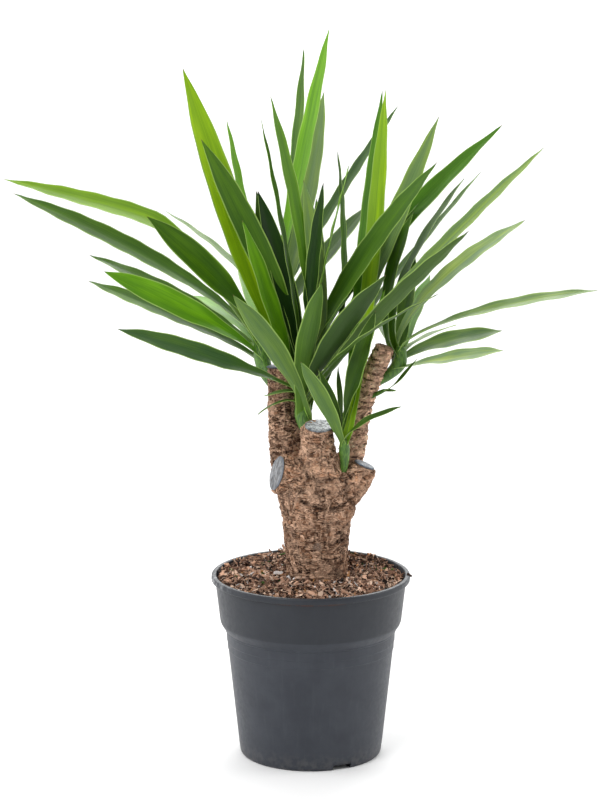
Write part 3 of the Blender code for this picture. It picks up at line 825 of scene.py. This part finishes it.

# The bark peels in ragged bands, each with a pale lip that stands over a crack painted dark as shade
warp_broad = clouds(skin, 24, 11)
warp_fine = clouds(skin, 7, 12)
warp_grain = clouds(skin, 2.6, 13)
warp_other = clouds(skin, 6, 14)
draw = np.random.default_rng(3)
owner = heights.argmin(axis=0)
ranked = np.sort(heights, axis=0)
seam = bell(ranked[1] - ranked[0], 1.7) * np.clip(0.55 + 0.9 * warp_fine, 0, 1)
step_up, lip, under_lip, band_tone, fibre, weave, vein = np.zeros((7, count))
tint = np.zeros((count, 3))
for index, (name, limb) in enumerate(LIMBS.items()):
    mine = owner == index
    _, station, turn, _ = (part[mine] for part in measured[index])
    radius = float(np.mean(limb.radii))
    ring = np.stack([np.cos(turn), np.sin(turn)]) * radius

    def wound(cell, along, seed):
        """Noise that follows the limb round, with cells of this size in millimetres."""
        return clouds(np.stack([*(ring / cell), along], axis=1), 1, seed + index)

    rolling = wound(16, station / 10, 61)
    wave = np.sin(turn * 2 + index)
    beat = (station + 4.6 * rolling + 1.5 * wound(5, station / 5.5, 51) + 1.5 * wave) / limb.pitch
    phase = beat - np.floor(beat)
    hold = np.clip(0.62 + 1.3 * wound(9, np.floor(beat) * 3.1, 71), 0.08, 1) * limb.peel
    step_up[mine] = (phase - 0.45) * hold
    lip[mine] = bell(phase - 0.90, 0.085) * hold
    under_lip[mine] = bell(phase - 0.045, 0.075) * hold
    band_tone[mine] = draw.uniform(0.80, 1.22, 64)[np.floor(beat).astype(int) % 64]
    fibre[mine] = wound(11, (station + radius * 0.35 * wave + 2.2 * rolling) / 3.8, 31)
    weave[mine] = wound(6, (station - radius * 0.6 * np.sin(turn + index)) / 2.3, 41)
    vein[mine] = wound(7.5, station / 17, 81) * limb.cork
    tint[mine] = limb.tint

thread = bell(fibre, 0.15) * np.clip(0.65 + 1.1 * warp_other, 0.1, 1)
groove = bell(fibre + 0.28, 0.15) * np.clip(0.65 - 1.1 * warp_fine, 0.1, 1)
ridge = bell(vein, 0.10) * np.clip(0.25 + 1.6 * warp_broad, 0, 1) * (vein != 0)
push = 1.5 * step_up - 0.9 * under_lip + 0.75 * thread - 0.85 * groove + 0.7 * ridge
push += 0.9 * warp_broad + 0.9 * warp_fine + 0.45 * warp_grain + 0.5 * weave - 1.3 * seam
# relief only lightens the raised bark and darkens the sunk bark in its colour below.
relief = 0.8 * step_up + 0.30 * warp_grain + 0.30 * warp_fine + 0.20 * warp_other + 0.30 * weave
# The cracks are painted dark: painted shade under each lip, in the grooves and where the limbs meet.
crack_shade = np.clip(1.2 * under_lip * np.clip(0.8 + 1.2 * warp_fine, 0.15, 1), 0, 1)
crack_shade = np.maximum(np.maximum(crack_shade, 0.45 * groove), seam)
ridge = np.clip(ridge + 0.45 * thread, 0, 1) * (1 - 0.7 * crack_shade)

# A deep crease runs round the knob where the old cane was cut and the stubs swelled over it
KNOB_CREASE = ((-36, 290), (-24, 283), (-8, 279), (6, 275), (22, 272), (34, 275), (44, 281))
crease_line = np.interp(skin[:, 0], *np.transpose(KNOB_CREASE))
off_line = skin[:, 2] - crease_line + 2.4 * warp_fine + 1.2 * warp_grain
on_knob = (skin[:, 1] < 4) * np.clip((44 - np.abs(skin[:, 0] - 4)) / 6, 0, 1)
crease = bell(off_line, 1.5) * on_knob * np.clip(0.75 + 0.9 * warp_other, 0.15, 1)
push += 1.1 * bell(off_line - 4, 2.4) * on_knob - 1.9 * crease
# The crease is painted dark as well: painted shade in it.
crack_shade = np.maximum(crack_shade, crease)

# The bark swells in a collar round the left stub's sawn end
stub_centres, stub_directions, _ = limb_lines["stub_left"]
collar = (skin - np.array(stub_centres[-1])) @ np.array(stub_directions[-1])
push += 1.7 * bell(collar + 4, 3.2) * (owner == list(LIMBS).index("stub_left"))


class Knot(NamedTuple):
    """A healed bud or a leaf trace on the cane, its radius in millimetres and how pale it is."""

    place: tuple
    radius: float
    pale: float


KNOTS = (
    Knot((6.5, -33, 232), 5.2, 0.70),
    Knot((-8, -36, 273), 3.2, 0.25),
    Knot((15, -32, 260), 3.4, 0.75),
    Knot((23, -29, 266), 3.4, 0.55),
    Knot((-20, -27, 284), 7, 0.45),
    Knot((-22, -24, 248), 4.5, 0.3),
    Knot((30, 20, 245), 5, 0.6),
    Knot((-5, 34, 255), 5.5, 0.7),
)
pale = np.zeros(count)
for knot in KNOTS:
    away = np.linalg.norm(skin - np.array(knot.place), axis=1) + 1.4 * warp_fine
    rim = bell(away - knot.radius, 0.9)
    well = np.clip((knot.radius - away) / 0.8, 0, 1)
    push = push * (1 - 0.8 * well) - 0.4 * well + 0.8 * rim
    ridge = np.maximum(ridge * (1 - well), 0.75 * rim)
    crack_shade = crack_shade * (1 - well)
    pale = np.maximum(pale, knot.pale * well * np.clip(0.75 + 1.1 * warp_grain, 0.2, 1))

# Where a limb is sawn through, its end stays flat and bare
sawn = np.zeros(count)
for index, (centres, directions, _) in enumerate(limb_lines.values()):
    way = np.array(directions[-1])
    level = (skin - np.array(centres[-1])) @ way
    sawn = np.maximum(sawn, (np.abs(level) < 0.35) * (measured[index][0] < 0.4) * (normals @ way > 0.7))
push = np.where(sawn > 0, 0.2 * warp_grain, push)
push *= np.clip((skin[:, 2] - 176) / 14, 0, 1)
skin_now = skin + normals * push[:, None]
move_points(trunk_mesh, skin_now)
trunk_mesh.shade_smooth()

LIGHT_LINE = (0.58, 0.40, 0.285)
SHADE_LINE = (0.022, 0.010, 0.006)
PALE_KNOT = (0.43, 0.345, 0.29)
RUST = (0.36, 0.165, 0.072)
SAWN_WOOD = (0.34, 0.20, 0.125)
# Each band's own tone is lightened where the bark stands up and darkened where it sinks: painted light and
# shade from the relief.
shade = np.clip(band_tone * (1 + 0.35 * warp_broad + 0.95 * relief), 0.25, 2.1)[:, None]
colour = tint * shade
light = np.clip(0.62 * ridge + 0.60 * lip * np.clip(0.6 + warp_fine, 0, 1), 0, 1)
rust = 0.30 * np.clip(1.4 * clouds(skin, 13, 17), 0, 1)
# The dark crack colour is painted shade; rust, pale lines, pale knots and sawn ends are the bark's own
# colours.
for tone, share in (
    (RUST, rust), (LIGHT_LINE, light), (SHADE_LINE, 0.88 * crack_shade), (PALE_KNOT, pale), (SAWN_WOOD * shade, sawn)
):
    colour += (tone - colour) * share[:, None]
paint(trunk_mesh, "bark", np.clip(colour, 0.004, 1))
quiet = np.clip(np.maximum(1.6 * pale, 0.8 * sawn), 0, 0.9)
quiet = np.maximum(quiet, 0.5 * (owner == list(LIMBS).index("branch_right")))
# Its second channel carries the painted shade of the cracks, creases and seams to the material.
paint(trunk_mesh, "quiet", np.stack([quiet, np.clip(crack_shade, 0, 1), np.zeros(count)], axis=1))
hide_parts("trunk")
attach(trunk, "root")

# Loose fibres that stand off the bark
HAIR_COUNT = 700
HAIR_STEPS = 5
draw = np.random.default_rng(21)
above_soil = np.flatnonzero((skin[:, 2] > 200) & (sawn < 0.5))
roots = draw.choice(above_soil, HAIR_COUNT, replace=False)
lean = normals[roots] + draw.normal(0, 0.75, (HAIR_COUNT, 3))
lean /= np.linalg.norm(lean, axis=1, keepdims=True)
droop = draw.normal(0, 0.5, (HAIR_COUNT, 3))
hair_length = draw.uniform(1.4, 4.8, HAIR_COUNT)
share = np.linspace(0, 1, HAIR_STEPS)
hairs = (skin_now[roots] - normals[roots] * 0.4)[:, None, :]
hairs = hairs + lean[:, None, :] * share[:, None] * hair_length[:, None, None]
hairs = hairs + droop[:, None, :] * (share ** 2)[:, None] * hair_length[:, None, None] * 0.5
points, faces = strands(hairs, draw.uniform(0.12, 0.30, HAIR_COUNT))
hair_tone = np.array((0.30, 0.175, 0.11)) * draw.uniform(0.4, 1.7, (HAIR_COUNT, 1))
bark_fibres = solid("bark_fibres", points, faces, bark_chip)
paint(bark_fibres.data, "tone", np.repeat(hair_tone, HAIR_STEPS * 3, axis=0))
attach(bark_fibres, "root")


# Wax caps
#
# Grey sealing wax, brushed hot over each sawn end to keep the wood from drying out. It has set
# in streaks, with a thick rounded rim and cracks where wood shows.
WAX_THICKNESS = 1.6
WAX_OVERHANG = 0.6
WAX_LIFT = 0.3
WAX_RINGS = 20
WAX_SIDES = 72
CAP_LEVELS = [(ring / WAX_RINGS, 1) for ring in range(WAX_RINGS + 1)]
CAP_LEVELS += [(1.03, 0.55), (0.99, 0), (0, 0)]

wax = Finish("weathered_sealing_wax", 0.42, Specular_IOR_Level=0.45)
wax_streak = wax.cloud(260, 3, 0.6, 0.8, (1, 1, 0.3))
wax_fleck = wax.cloud(330, 4, 0.7)
wax_tone = wax.painted("tint")
wax.coat(wax.rescale(wax_streak, 0.45, 0.55), wax_tone, wax.mix(0.72, wax_tone, (0.020, 0.024, 0.032)))
wax.coat(wax.rescale(wax_fleck, 0.56, 0.64, 0, 0.80), (0.075, 0.045, 0.030))
wax.coat(wax.painted("rim"), (0.070, 0.082, 0.105))
wax.bump(wax_streak, 0.6, 0.0009)
sealing_wax = wax.finish(wax.rescale(wax_fleck, 0.3, 0.7, 0.32, 0.6))

CAPS = {
    "wax_cap_left": ("stub_left", (0.210, 0.215, 0.225)),
    "wax_cap_centre": ("stub_centre", (0.620, 0.640, 0.670)),
    "wax_cap_right": ("stub_right", (0.190, 0.225, 0.270)),
    # The back cap's dark slate grey is painted shade: it sits under the leaves on the shaded left branch.
    "wax_cap_back": ("branch_left", (0.085, 0.100, 0.135)),
}
for seed, (cap_name, (limb_name, wax_tint)) in enumerate(CAPS.items()):
    centres, directions, radii = limb_lines[limb_name]
    centre = np.array(centres[-1])
    up = np.array(directions[-1])
    side, front = (np.array(axis) for axis in ring_axes(directions[-1]))
    points = []
    rims = []
    rows = []
    for share, level in CAP_LEVELS:
        corners = WAX_SIDES if share > 0 else 1
        rows.append(range(len(points), len(points) + corners))
        for step in range(corners):
            angle = math.tau * step / WAX_SIDES
            spread = noise.noise(Vector((math.cos(angle), math.sin(angle), seed * 3.7)) * 1.6)
            reach = (radii[-1] + WAX_OVERHANG) * share * (1 + 0.035 * spread)
            flat = centre + side * reach * math.cos(angle) + front * reach * math.sin(angle)
            lumps = noise.noise(Vector(flat) / 4 + Vector((seed, 0, 0)))
            rounded = 1 - 0.42 * max(0, min(1, (share - 0.82) / 0.18)) ** 2
            height = WAX_LIFT + WAX_THICKNESS * level * (rounded + 0.22 * lumps)
            points.append(flat + up * height)
            rims.append(max(0, min(1, (share - 0.8) / 0.16)) * (0.6 + 0.5 * spread))
    faces = [face[::-1] for face in joined(rows)]
    cap = solid(f"{cap_name}_crust", points, faces, sealing_wax, 50)
    paint(cap.data, "rim", np.repeat(np.clip(rims, 0, 1)[:, None], 3, axis=1))
    paint(cap.data, "tint", [wax_tint] * len(points))
    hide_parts(cap_name)
    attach(cap, "root")


# Heads of leaves
#
# Stiff sword-shaped leaves that clasp a short green stem in a spiral, each with a shallow channel,
# fine ribs along it, a pale horny edge and a sharp brown tip. The oldest hang lowest.
LEAF_LOWEST = 0.42
LEAF_HIGHEST = 0.90
LEAF_OUTLINE = ((0, 0.56), (0.12, 0.44), (0.30, 0.70), (0.48, 0.96), (0.66, 1), (0.84, 0.72), (1, 0))
LEAF_CHANNEL = 0.30
LEAF_CHANNEL_FADE = 0.5
LEAF_TWIST_END = 0.45
LEAF_ARCH_EARLY = 0.62
KNEE_TIGHTNESS = 0.12
LEAF_ROWS = 36
LEAF_ACROSS = 10
LEAF_RING = 2 * (LEAF_ACROSS + 1)
ROW_CROWDING = 0.12
SPINE_STEP = 0.004
LEAF_EDGE_THICKNESS = 0.36
LEAF_MIDDLE_THICKNESS = 0.85
EDGE_RIPPLE = 0.55
RIPPLE_LENGTH = 42
RIPPLE_SPREAD = 9
GOLDEN_SHARE = 0.618

# Some of these greens are the leaves' own, the pale undersides and grey-green blades; dark and deep are
# painted shade for leaves inside the crown, lime and bright painted light for lit and backlit leaves, and
# milky a painted lightening of leaves that face down into shade.
LEAF_TONES = {
    "lime": (0.225, 0.400, 0.006),
    "vivid": (0.058, 0.180, 0.001),
    "bright": (0.105, 0.275, 0.004),
    "fresh": (0.082, 0.205, 0.006),
    "green": (0.050, 0.128, 0.006),
    "deep": (0.032, 0.080, 0.006),
    "dark": (0.010, 0.036, 0.004),
    "grey": (0.088, 0.172, 0.040),
    "blue": (0.042, 0.102, 0.024),
    "pale": (0.155, 0.255, 0.080),
    "milky": (0.280, 0.400, 0.190),
    "apple": (0.150, 0.290, 0.006),
}


class Leaf(NamedTuple):
    """A blade: the direction and distance of its tip from its head, how it bends, and its green, which also
    carries painted light and shade.

    Azimuth is 0 towards +X and 90 away from the viewer. Angles are degrees, sizes millimetres.
    """

    azimuth: float
    rise: float
    length: float
    width: float
    tone: str
    sag: float = 0
    swing: float = 0
    roll: float = 0
    fold: float = 0


class Head(NamedTuple):
    """A leafy shoot: the points that its stem runs through in millimetres, its radii and its leaves."""

    stem: tuple
    radii: tuple
    leaves: list


HEADS = {
    "leaves_left": Head(
        ((-37, 51, 388), (-48, 62, 401), (-52, 68, 416), (-53, 69, 433)),
        (8, 8, 9, 6),
        [
            Leaf(146, 14, 240, 22, "green", 12, -10, -20),
            Leaf(154, 24, 230, 22, "green", 24, -20, -15),
            Leaf(177, 28, 190, 28, "bright", 24, 0, -50),
            Leaf(96, 20, 250, 26, "bright", 30),
            Leaf(112, 8, 215, 26, "bright", 34),
            Leaf(160, 29, 330, 26, "green", 30, -20, -25),
            Leaf(170, 33, 335, 28, "apple", 78, 0, -25, 0.8),
            Leaf(123, 33, 240, 14, "grey", 42, -50, 15),
            Leaf(-161, 51, 200, 28, "green", 38, -12, -75),
            Leaf(55, 34, 250, 24, "deep", 18),
            Leaf(108, 62, 270, 13, "bright", 0, -8, 30),
            Leaf(37, 54, 315, 20, "blue", 8, 12, -5),
            Leaf(42, 72, 290, 28, "pale", -18, -6, 10),
            Leaf(13, 82, 330, 20, "green", -18, 0, 20),
            Leaf(-17, 78, 360, 24, "bright", -4, 0, 55),
        ],
    ),
    "leaves_centre": Head(
        ((1, 10, 334), (-4, 16, 347), (-8, 23, 362), (-8, 23, 388)),
        (6, 7, 9.5, 6),
        [
            Leaf(-167, 26, 48, 11, "grey", 230),
            Leaf(-160, 3, 51, 6, "deep", 200),
            Leaf(-39, 40, 230, 12, "deep", 50, -12),
            Leaf(-77, 62, 175, 26, "green", 12, -18, 20),
            Leaf(-128, 51, 185, 24, "grey", 24, 12, 25),
            Leaf(-150, 71, 224, 26, "bright", 4, 0, -62),
            Leaf(-47, 53, 205, 26, "dark", 32, -12, -25),
            Leaf(-26, 48, 280, 26, "deep", 24, 6, -25),
            Leaf(25, 58, 255, 24, "fresh", 32, 28, -15),
            Leaf(36, 45, 340, 18, "green", 6, 16, -15),
            Leaf(23, 52, 375, 28, "vivid", 42, 18, 20),
            Leaf(-12, 49, 385, 24, "pale", 15, 0, 30),
            Leaf(-20, 62, 310, 28, "green", 42, 16, 55),
            Leaf(102, 36, 260, 26, "dark", 0, -18, 15),
            Leaf(152, 77, 240, 26, "dark", 18, 0, -30),
            Leaf(84, 57, 250, 24, "green", -8, -16, -35),
            Leaf(19, 64, 345, 28, "pale", -10, 0, 25),
            Leaf(160, 69, 270, 22, "grey", 22, 0, 55),
            Leaf(-171, 70, 312, 28, "green", 26, -14, -75),
            Leaf(175, 71, 385, 31, "lime", -6, 0, -60),
            Leaf(143, 75, 240, 26, "deep", 10, 6, -50),
            Leaf(154, 81, 315, 12, "green", 14, 8, 5),
            Leaf(68, 70, 285, 14, "green", -22, -42, -45),
            Leaf(-46, 76, 280, 16, "bright", 8, -4, 45),
            Leaf(-62, 80, 255, 24, "dark", 16, 6, 95),
            Leaf(-165, 84, 340, 19, "fresh", 24, 0, -55),
            Leaf(90, 89, 248, 18, "pale", 0, -33),
            Leaf(-163, 27, 225, 24, "blue", 12, 0, -45),
        ],
    ),
    "leaves_right": Head(
        ((71, 25, 397), (84, 28, 405), (93, 29, 416), (95, 30, 433)),
        (5, 6, 8, 5),
        [
            Leaf(-25, 11, 120, 22, "milky", 8, 0, 25),
            Leaf(35, 8, 140, 24, "grey", 28, 20, 25),
            Leaf(59, 9, 130, 12, "pale", 28, 24, -15),
            Leaf(98, 12, 165, 24, "green", 30),
            Leaf(75, 26, 160, 24, "bright", 0, 8, -25),
            Leaf(24, 44, 205, 26, "milky", 48, 26, 10),
            Leaf(78, 48, 135, 24, "grey", 0, 4, -35),
            Leaf(31, 84, 160, 24, "green", 32, 50, -5),
            Leaf(48, 60, 215, 24, "green", 30, 40, -30),
            Leaf(-11, 22, 225, 24, "pale", 30, 0, 15),
        ],
    ),
    "leaves_shoot": Head(
        ((31, -3, 298), (35, -8, 314), (35, -10, 330), (35, -11, 342)),
        (3, 4.2, 5.8, 3.5),
        [
            Leaf(-34, 38, 90, 8, "deep", 86, -32, 45),
            Leaf(-138, 59, 120, 18, "grey", 18, 6, 30),
            Leaf(-155, 71, 95, 14, "deep", 22, 0, -60),
            Leaf(102, 70, 90, 10, "deep", -4, 10, 45),
            Leaf(72, 58, 90, 10, "green", 6, 22, -40),
            Leaf(44, 70, 175, 18, "bright", 8, 8, -20),
            Leaf(-24, 77, 155, 22, "deep", 24, 12, 70),
            Leaf(70, 72, 385, 18, "vivid", 0, 0, -10),
            Leaf(67, 73, 385, 20, "lime", 0, -10, -10),
        ],
    ),
    "sprout": Head(
        ((63, 22, 381), (71, 16, 386), (77, 11, 390)),
        (2.4, 2.4, 1.8),
        [
            Leaf(-13, 9, 20, 4, "grey", 44, 0, 40),
            Leaf(-4, 43, 55, 4, "deep", -26, 0, 45),
        ],
    ),
}


def leaf_spine(leaf, root, centre):
    """The middle line of a leaf from its root to its tip, as a function of t from 0 to 1."""
    azimuth = math.radians(leaf.azimuth)
    rise = math.radians(leaf.rise)
    up = Vector((0, 0, 1))
    outward = Vector((math.cos(azimuth), math.sin(azimuth), 0))
    aim = outward * math.cos(rise) + up * math.sin(rise)
    lift = up * math.cos(rise) - outward * math.sin(rise)
    tip = centre + aim * leaf.length
    nod = lift * leaf.length * math.radians(leaf.sag) / 8
    turn = up.cross(outward) * leaf.length * math.radians(leaf.swing) / 8
    knee_foot = math.hypot(1, KNEE_TIGHTNESS)

    def spine(t):
        early = t ** LEAF_ARCH_EARLY
        arch = 4 * early * (1 - early)
        knee = (knee_foot - math.hypot(2 * t - 1, KNEE_TIGHTNESS)) / (knee_foot - KNEE_TIGHTNESS)
        return root.lerp(tip, t) + nod * (arch + (knee - arch) * leaf.fold) + turn * arch

    return spine


def width_share(t):
    """The leaf's width at t as a share of its widest, on a smooth line through its outline."""
    ts, shares = zip(*LEAF_OUTLINE)
    last = len(ts) - 1
    index = min(max(int(np.searchsorted(ts, t, side="right")) - 1, 0), last - 1)
    span = ts[index + 1] - ts[index]
    s = (t - ts[index]) / span

    def climb(point):
        """The outline's slope at one of its points, times this span."""
        low = max(point - 1, 0)
        high = min(point + 1, last)
        return (shares[high] - shares[low]) / (ts[high] - ts[low]) * span

    a, b = shares[index], shares[index + 1]
    m, n = climb(index), climb(index + 1)
    return max(a + s * (m + s * (3 * (b - a) - 2 * m - n + s * (2 * (a - b) + m + n))), 0)


def leaf_blade(leaf, root, centre, seed):
    """The points, faces and painted values of one leaf, in rings over its upper side and back under it."""
    azimuth = math.radians(leaf.azimuth)
    sideways = Vector((-math.sin(azimuth), math.cos(azimuth), 0))
    spine = leaf_spine(leaf, root, centre)
    chance = (seed * GOLDEN_SHARE) % 1
    ripple_length = RIPPLE_LENGTH + RIPPLE_SPREAD * math.sin(seed * 5.1)
    points = []
    values = []
    rows = []
    for row in range(LEAF_ROWS):
        t = row / LEAF_ROWS
        t *= 1 + ROW_CROWDING - ROW_CROWDING * t
        point = spine(t)
        along = (spine(min(t + SPINE_STEP, 1)) - spine(max(t - SPINE_STEP, 0))).normalized()
        across = (sideways - along * sideways.dot(along)).normalized()
        roll = math.radians(leaf.roll) * min(1, t / LEAF_TWIST_END)
        across = Matrix.Rotation(roll, 3, along) @ across
        up = along.cross(across)
        half = leaf.width / 2 * width_share(t)
        channel = half * LEAF_CHANNEL * (1 - LEAF_CHANNEL_FADE * t)
        run = t * leaf.length / ripple_length * math.tau + seed
        section = []
        for column in range(LEAF_ACROSS + 1):
            a = 2 * column / LEAF_ACROSS - 1
            ripple = EDGE_RIPPLE * a * a * math.sin(run + (1.3 if a > 0 else 0)) * min(1, t * 4)
            thick = LEAF_EDGE_THICKNESS + (LEAF_MIDDLE_THICKNESS - LEAF_EDGE_THICKNESS) * (1 - a * a)
            middle = point + across * half * a + up * (channel * abs(a) ** 1.35 + ripple)
            section.append((middle, up * thick / 2, a / 2 + 0.5))
        rows.append(range(len(points), len(points) + LEAF_RING))
        for part, side in ((section, 1), (section[::-1], -1)):
            points += [middle + side * rise for middle, rise, _ in part]
            values += [(place, t, chance, max(side, 0)) for _, _, place in part]
    rows.append([len(points)])
    points.append(spine(1))
    values.append((0.5, 1, chance, 1))
    faces = []
    for number, face in enumerate(joined(rows)):
        on_top = number % LEAF_RING < LEAF_ACROSS
        # Turned round to face outwards, and bent along the same diagonal on both sides
        faces.append((face[0], *face[:0:-1]) if on_top else face[::-1])
    for low in range(LEAF_ACROSS):
        high = LEAF_RING - 1 - low
        faces.append((low, low + 1, high - 1, high))
    return points, faces, values


green = Finish("yucca_leaf", 0.48, Specular_IOR_Level=0.22)
leaf_across, leaf_along, leaf_chance = green.node("ShaderNodeSeparateColor", green.painted("blade"))
from_middle = green.off(green.times(leaf_across, 2), 1)


def leaf_pattern(scales, detail, roughness):
    """Noise in a leaf's own directions, different on each leaf."""
    scaled = [green.times(*pair) for pair in zip((leaf_across, leaf_along, leaf_chance), scales)]
    return green.cloud(1, detail, roughness, place=green.node("ShaderNodeCombineXYZ", *scaled)[0])


ribs = leaf_pattern((34, 2.2, 90), 3, 0.6)
broad = leaf_pattern((3, 3.2, 37), 2, 0.55)
green.coat(green.rescale(ribs, 0.35, 0.65, 0, 0.70), (0.50, 0.62, 0.60), green.painted("tint"), "MULTIPLY")
green.coat(green.rescale(broad, 0.40, 0.70), (1.70, 1.50, 0.80), None, "MULTIPLY")
under_tone = green.mix(0.22, green.colour, (0.120, 0.210, 0.055))
green.coat(green.painted("blade", "Alpha"), green.colour, under_tone)
green.coat(green.rescale(leaf_along, 0.20, 0, 0, 0.50), (0.120, 0.250, 0.016))
green.coat(green.rescale(from_middle, 0.885, 0.955, 0, 0.75), (0.330, 0.500, 0.110))
green.coat(green.rescale(leaf_along, 0.984, 0.997), (0.13, 0.09, 0.030))
green.bump(ribs, 0.32, 0.0005)
leaf_green = green.finish(green.rescale(ribs, 0.3, 0.7, 0.44, 0.56))

sheath = Finish("leaf_stem", 0.5)
stem_grain = sheath.cloud(700, stretch=(1, 1, 0.25))
sheath.coat(sheath.rescale(stem_grain, 0.35, 0.65), (0.090, 0.205, 0.020), (0.028, 0.085, 0.008))
sheath.bump(stem_grain, 0.5, 0.0006)
stem_green = sheath.finish()

STEM_STEPS = 14
STEM_SIDES = 28
seed = 0
for head_name, head in HEADS.items():
    stem_shape = tube(*sampled(head.stem, head.radii, STEM_STEPS), STEM_SIDES)
    stem = solid(f"{head_name}_stem", *stem_shape, stem_green, 50)
    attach(stem, "root")
    places = [Vector(point) for point in head.stem]
    shapes = []
    values = []
    tints = []
    for leaf, share in zip(head.leaves, np.linspace(LEAF_LOWEST, LEAF_HIGHEST, len(head.leaves)).tolist()):
        seed += 1
        points, faces, marks = leaf_blade(leaf, on_curve(places, share)[0], places[-2], seed)
        shapes.append((points, faces))
        values += marks
        # The tint holds each leaf's green together with its painted light and shade.
        tints += [LEAF_TONES[leaf.tone]] * len(points)
    blades = solid(f"{head_name}_blades", *gathered(shapes), leaf_green, 45)
    paint(blades.data, "blade", values)
    paint(blades.data, "tint", tints)
    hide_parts(head_name)
    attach(blades, "root")
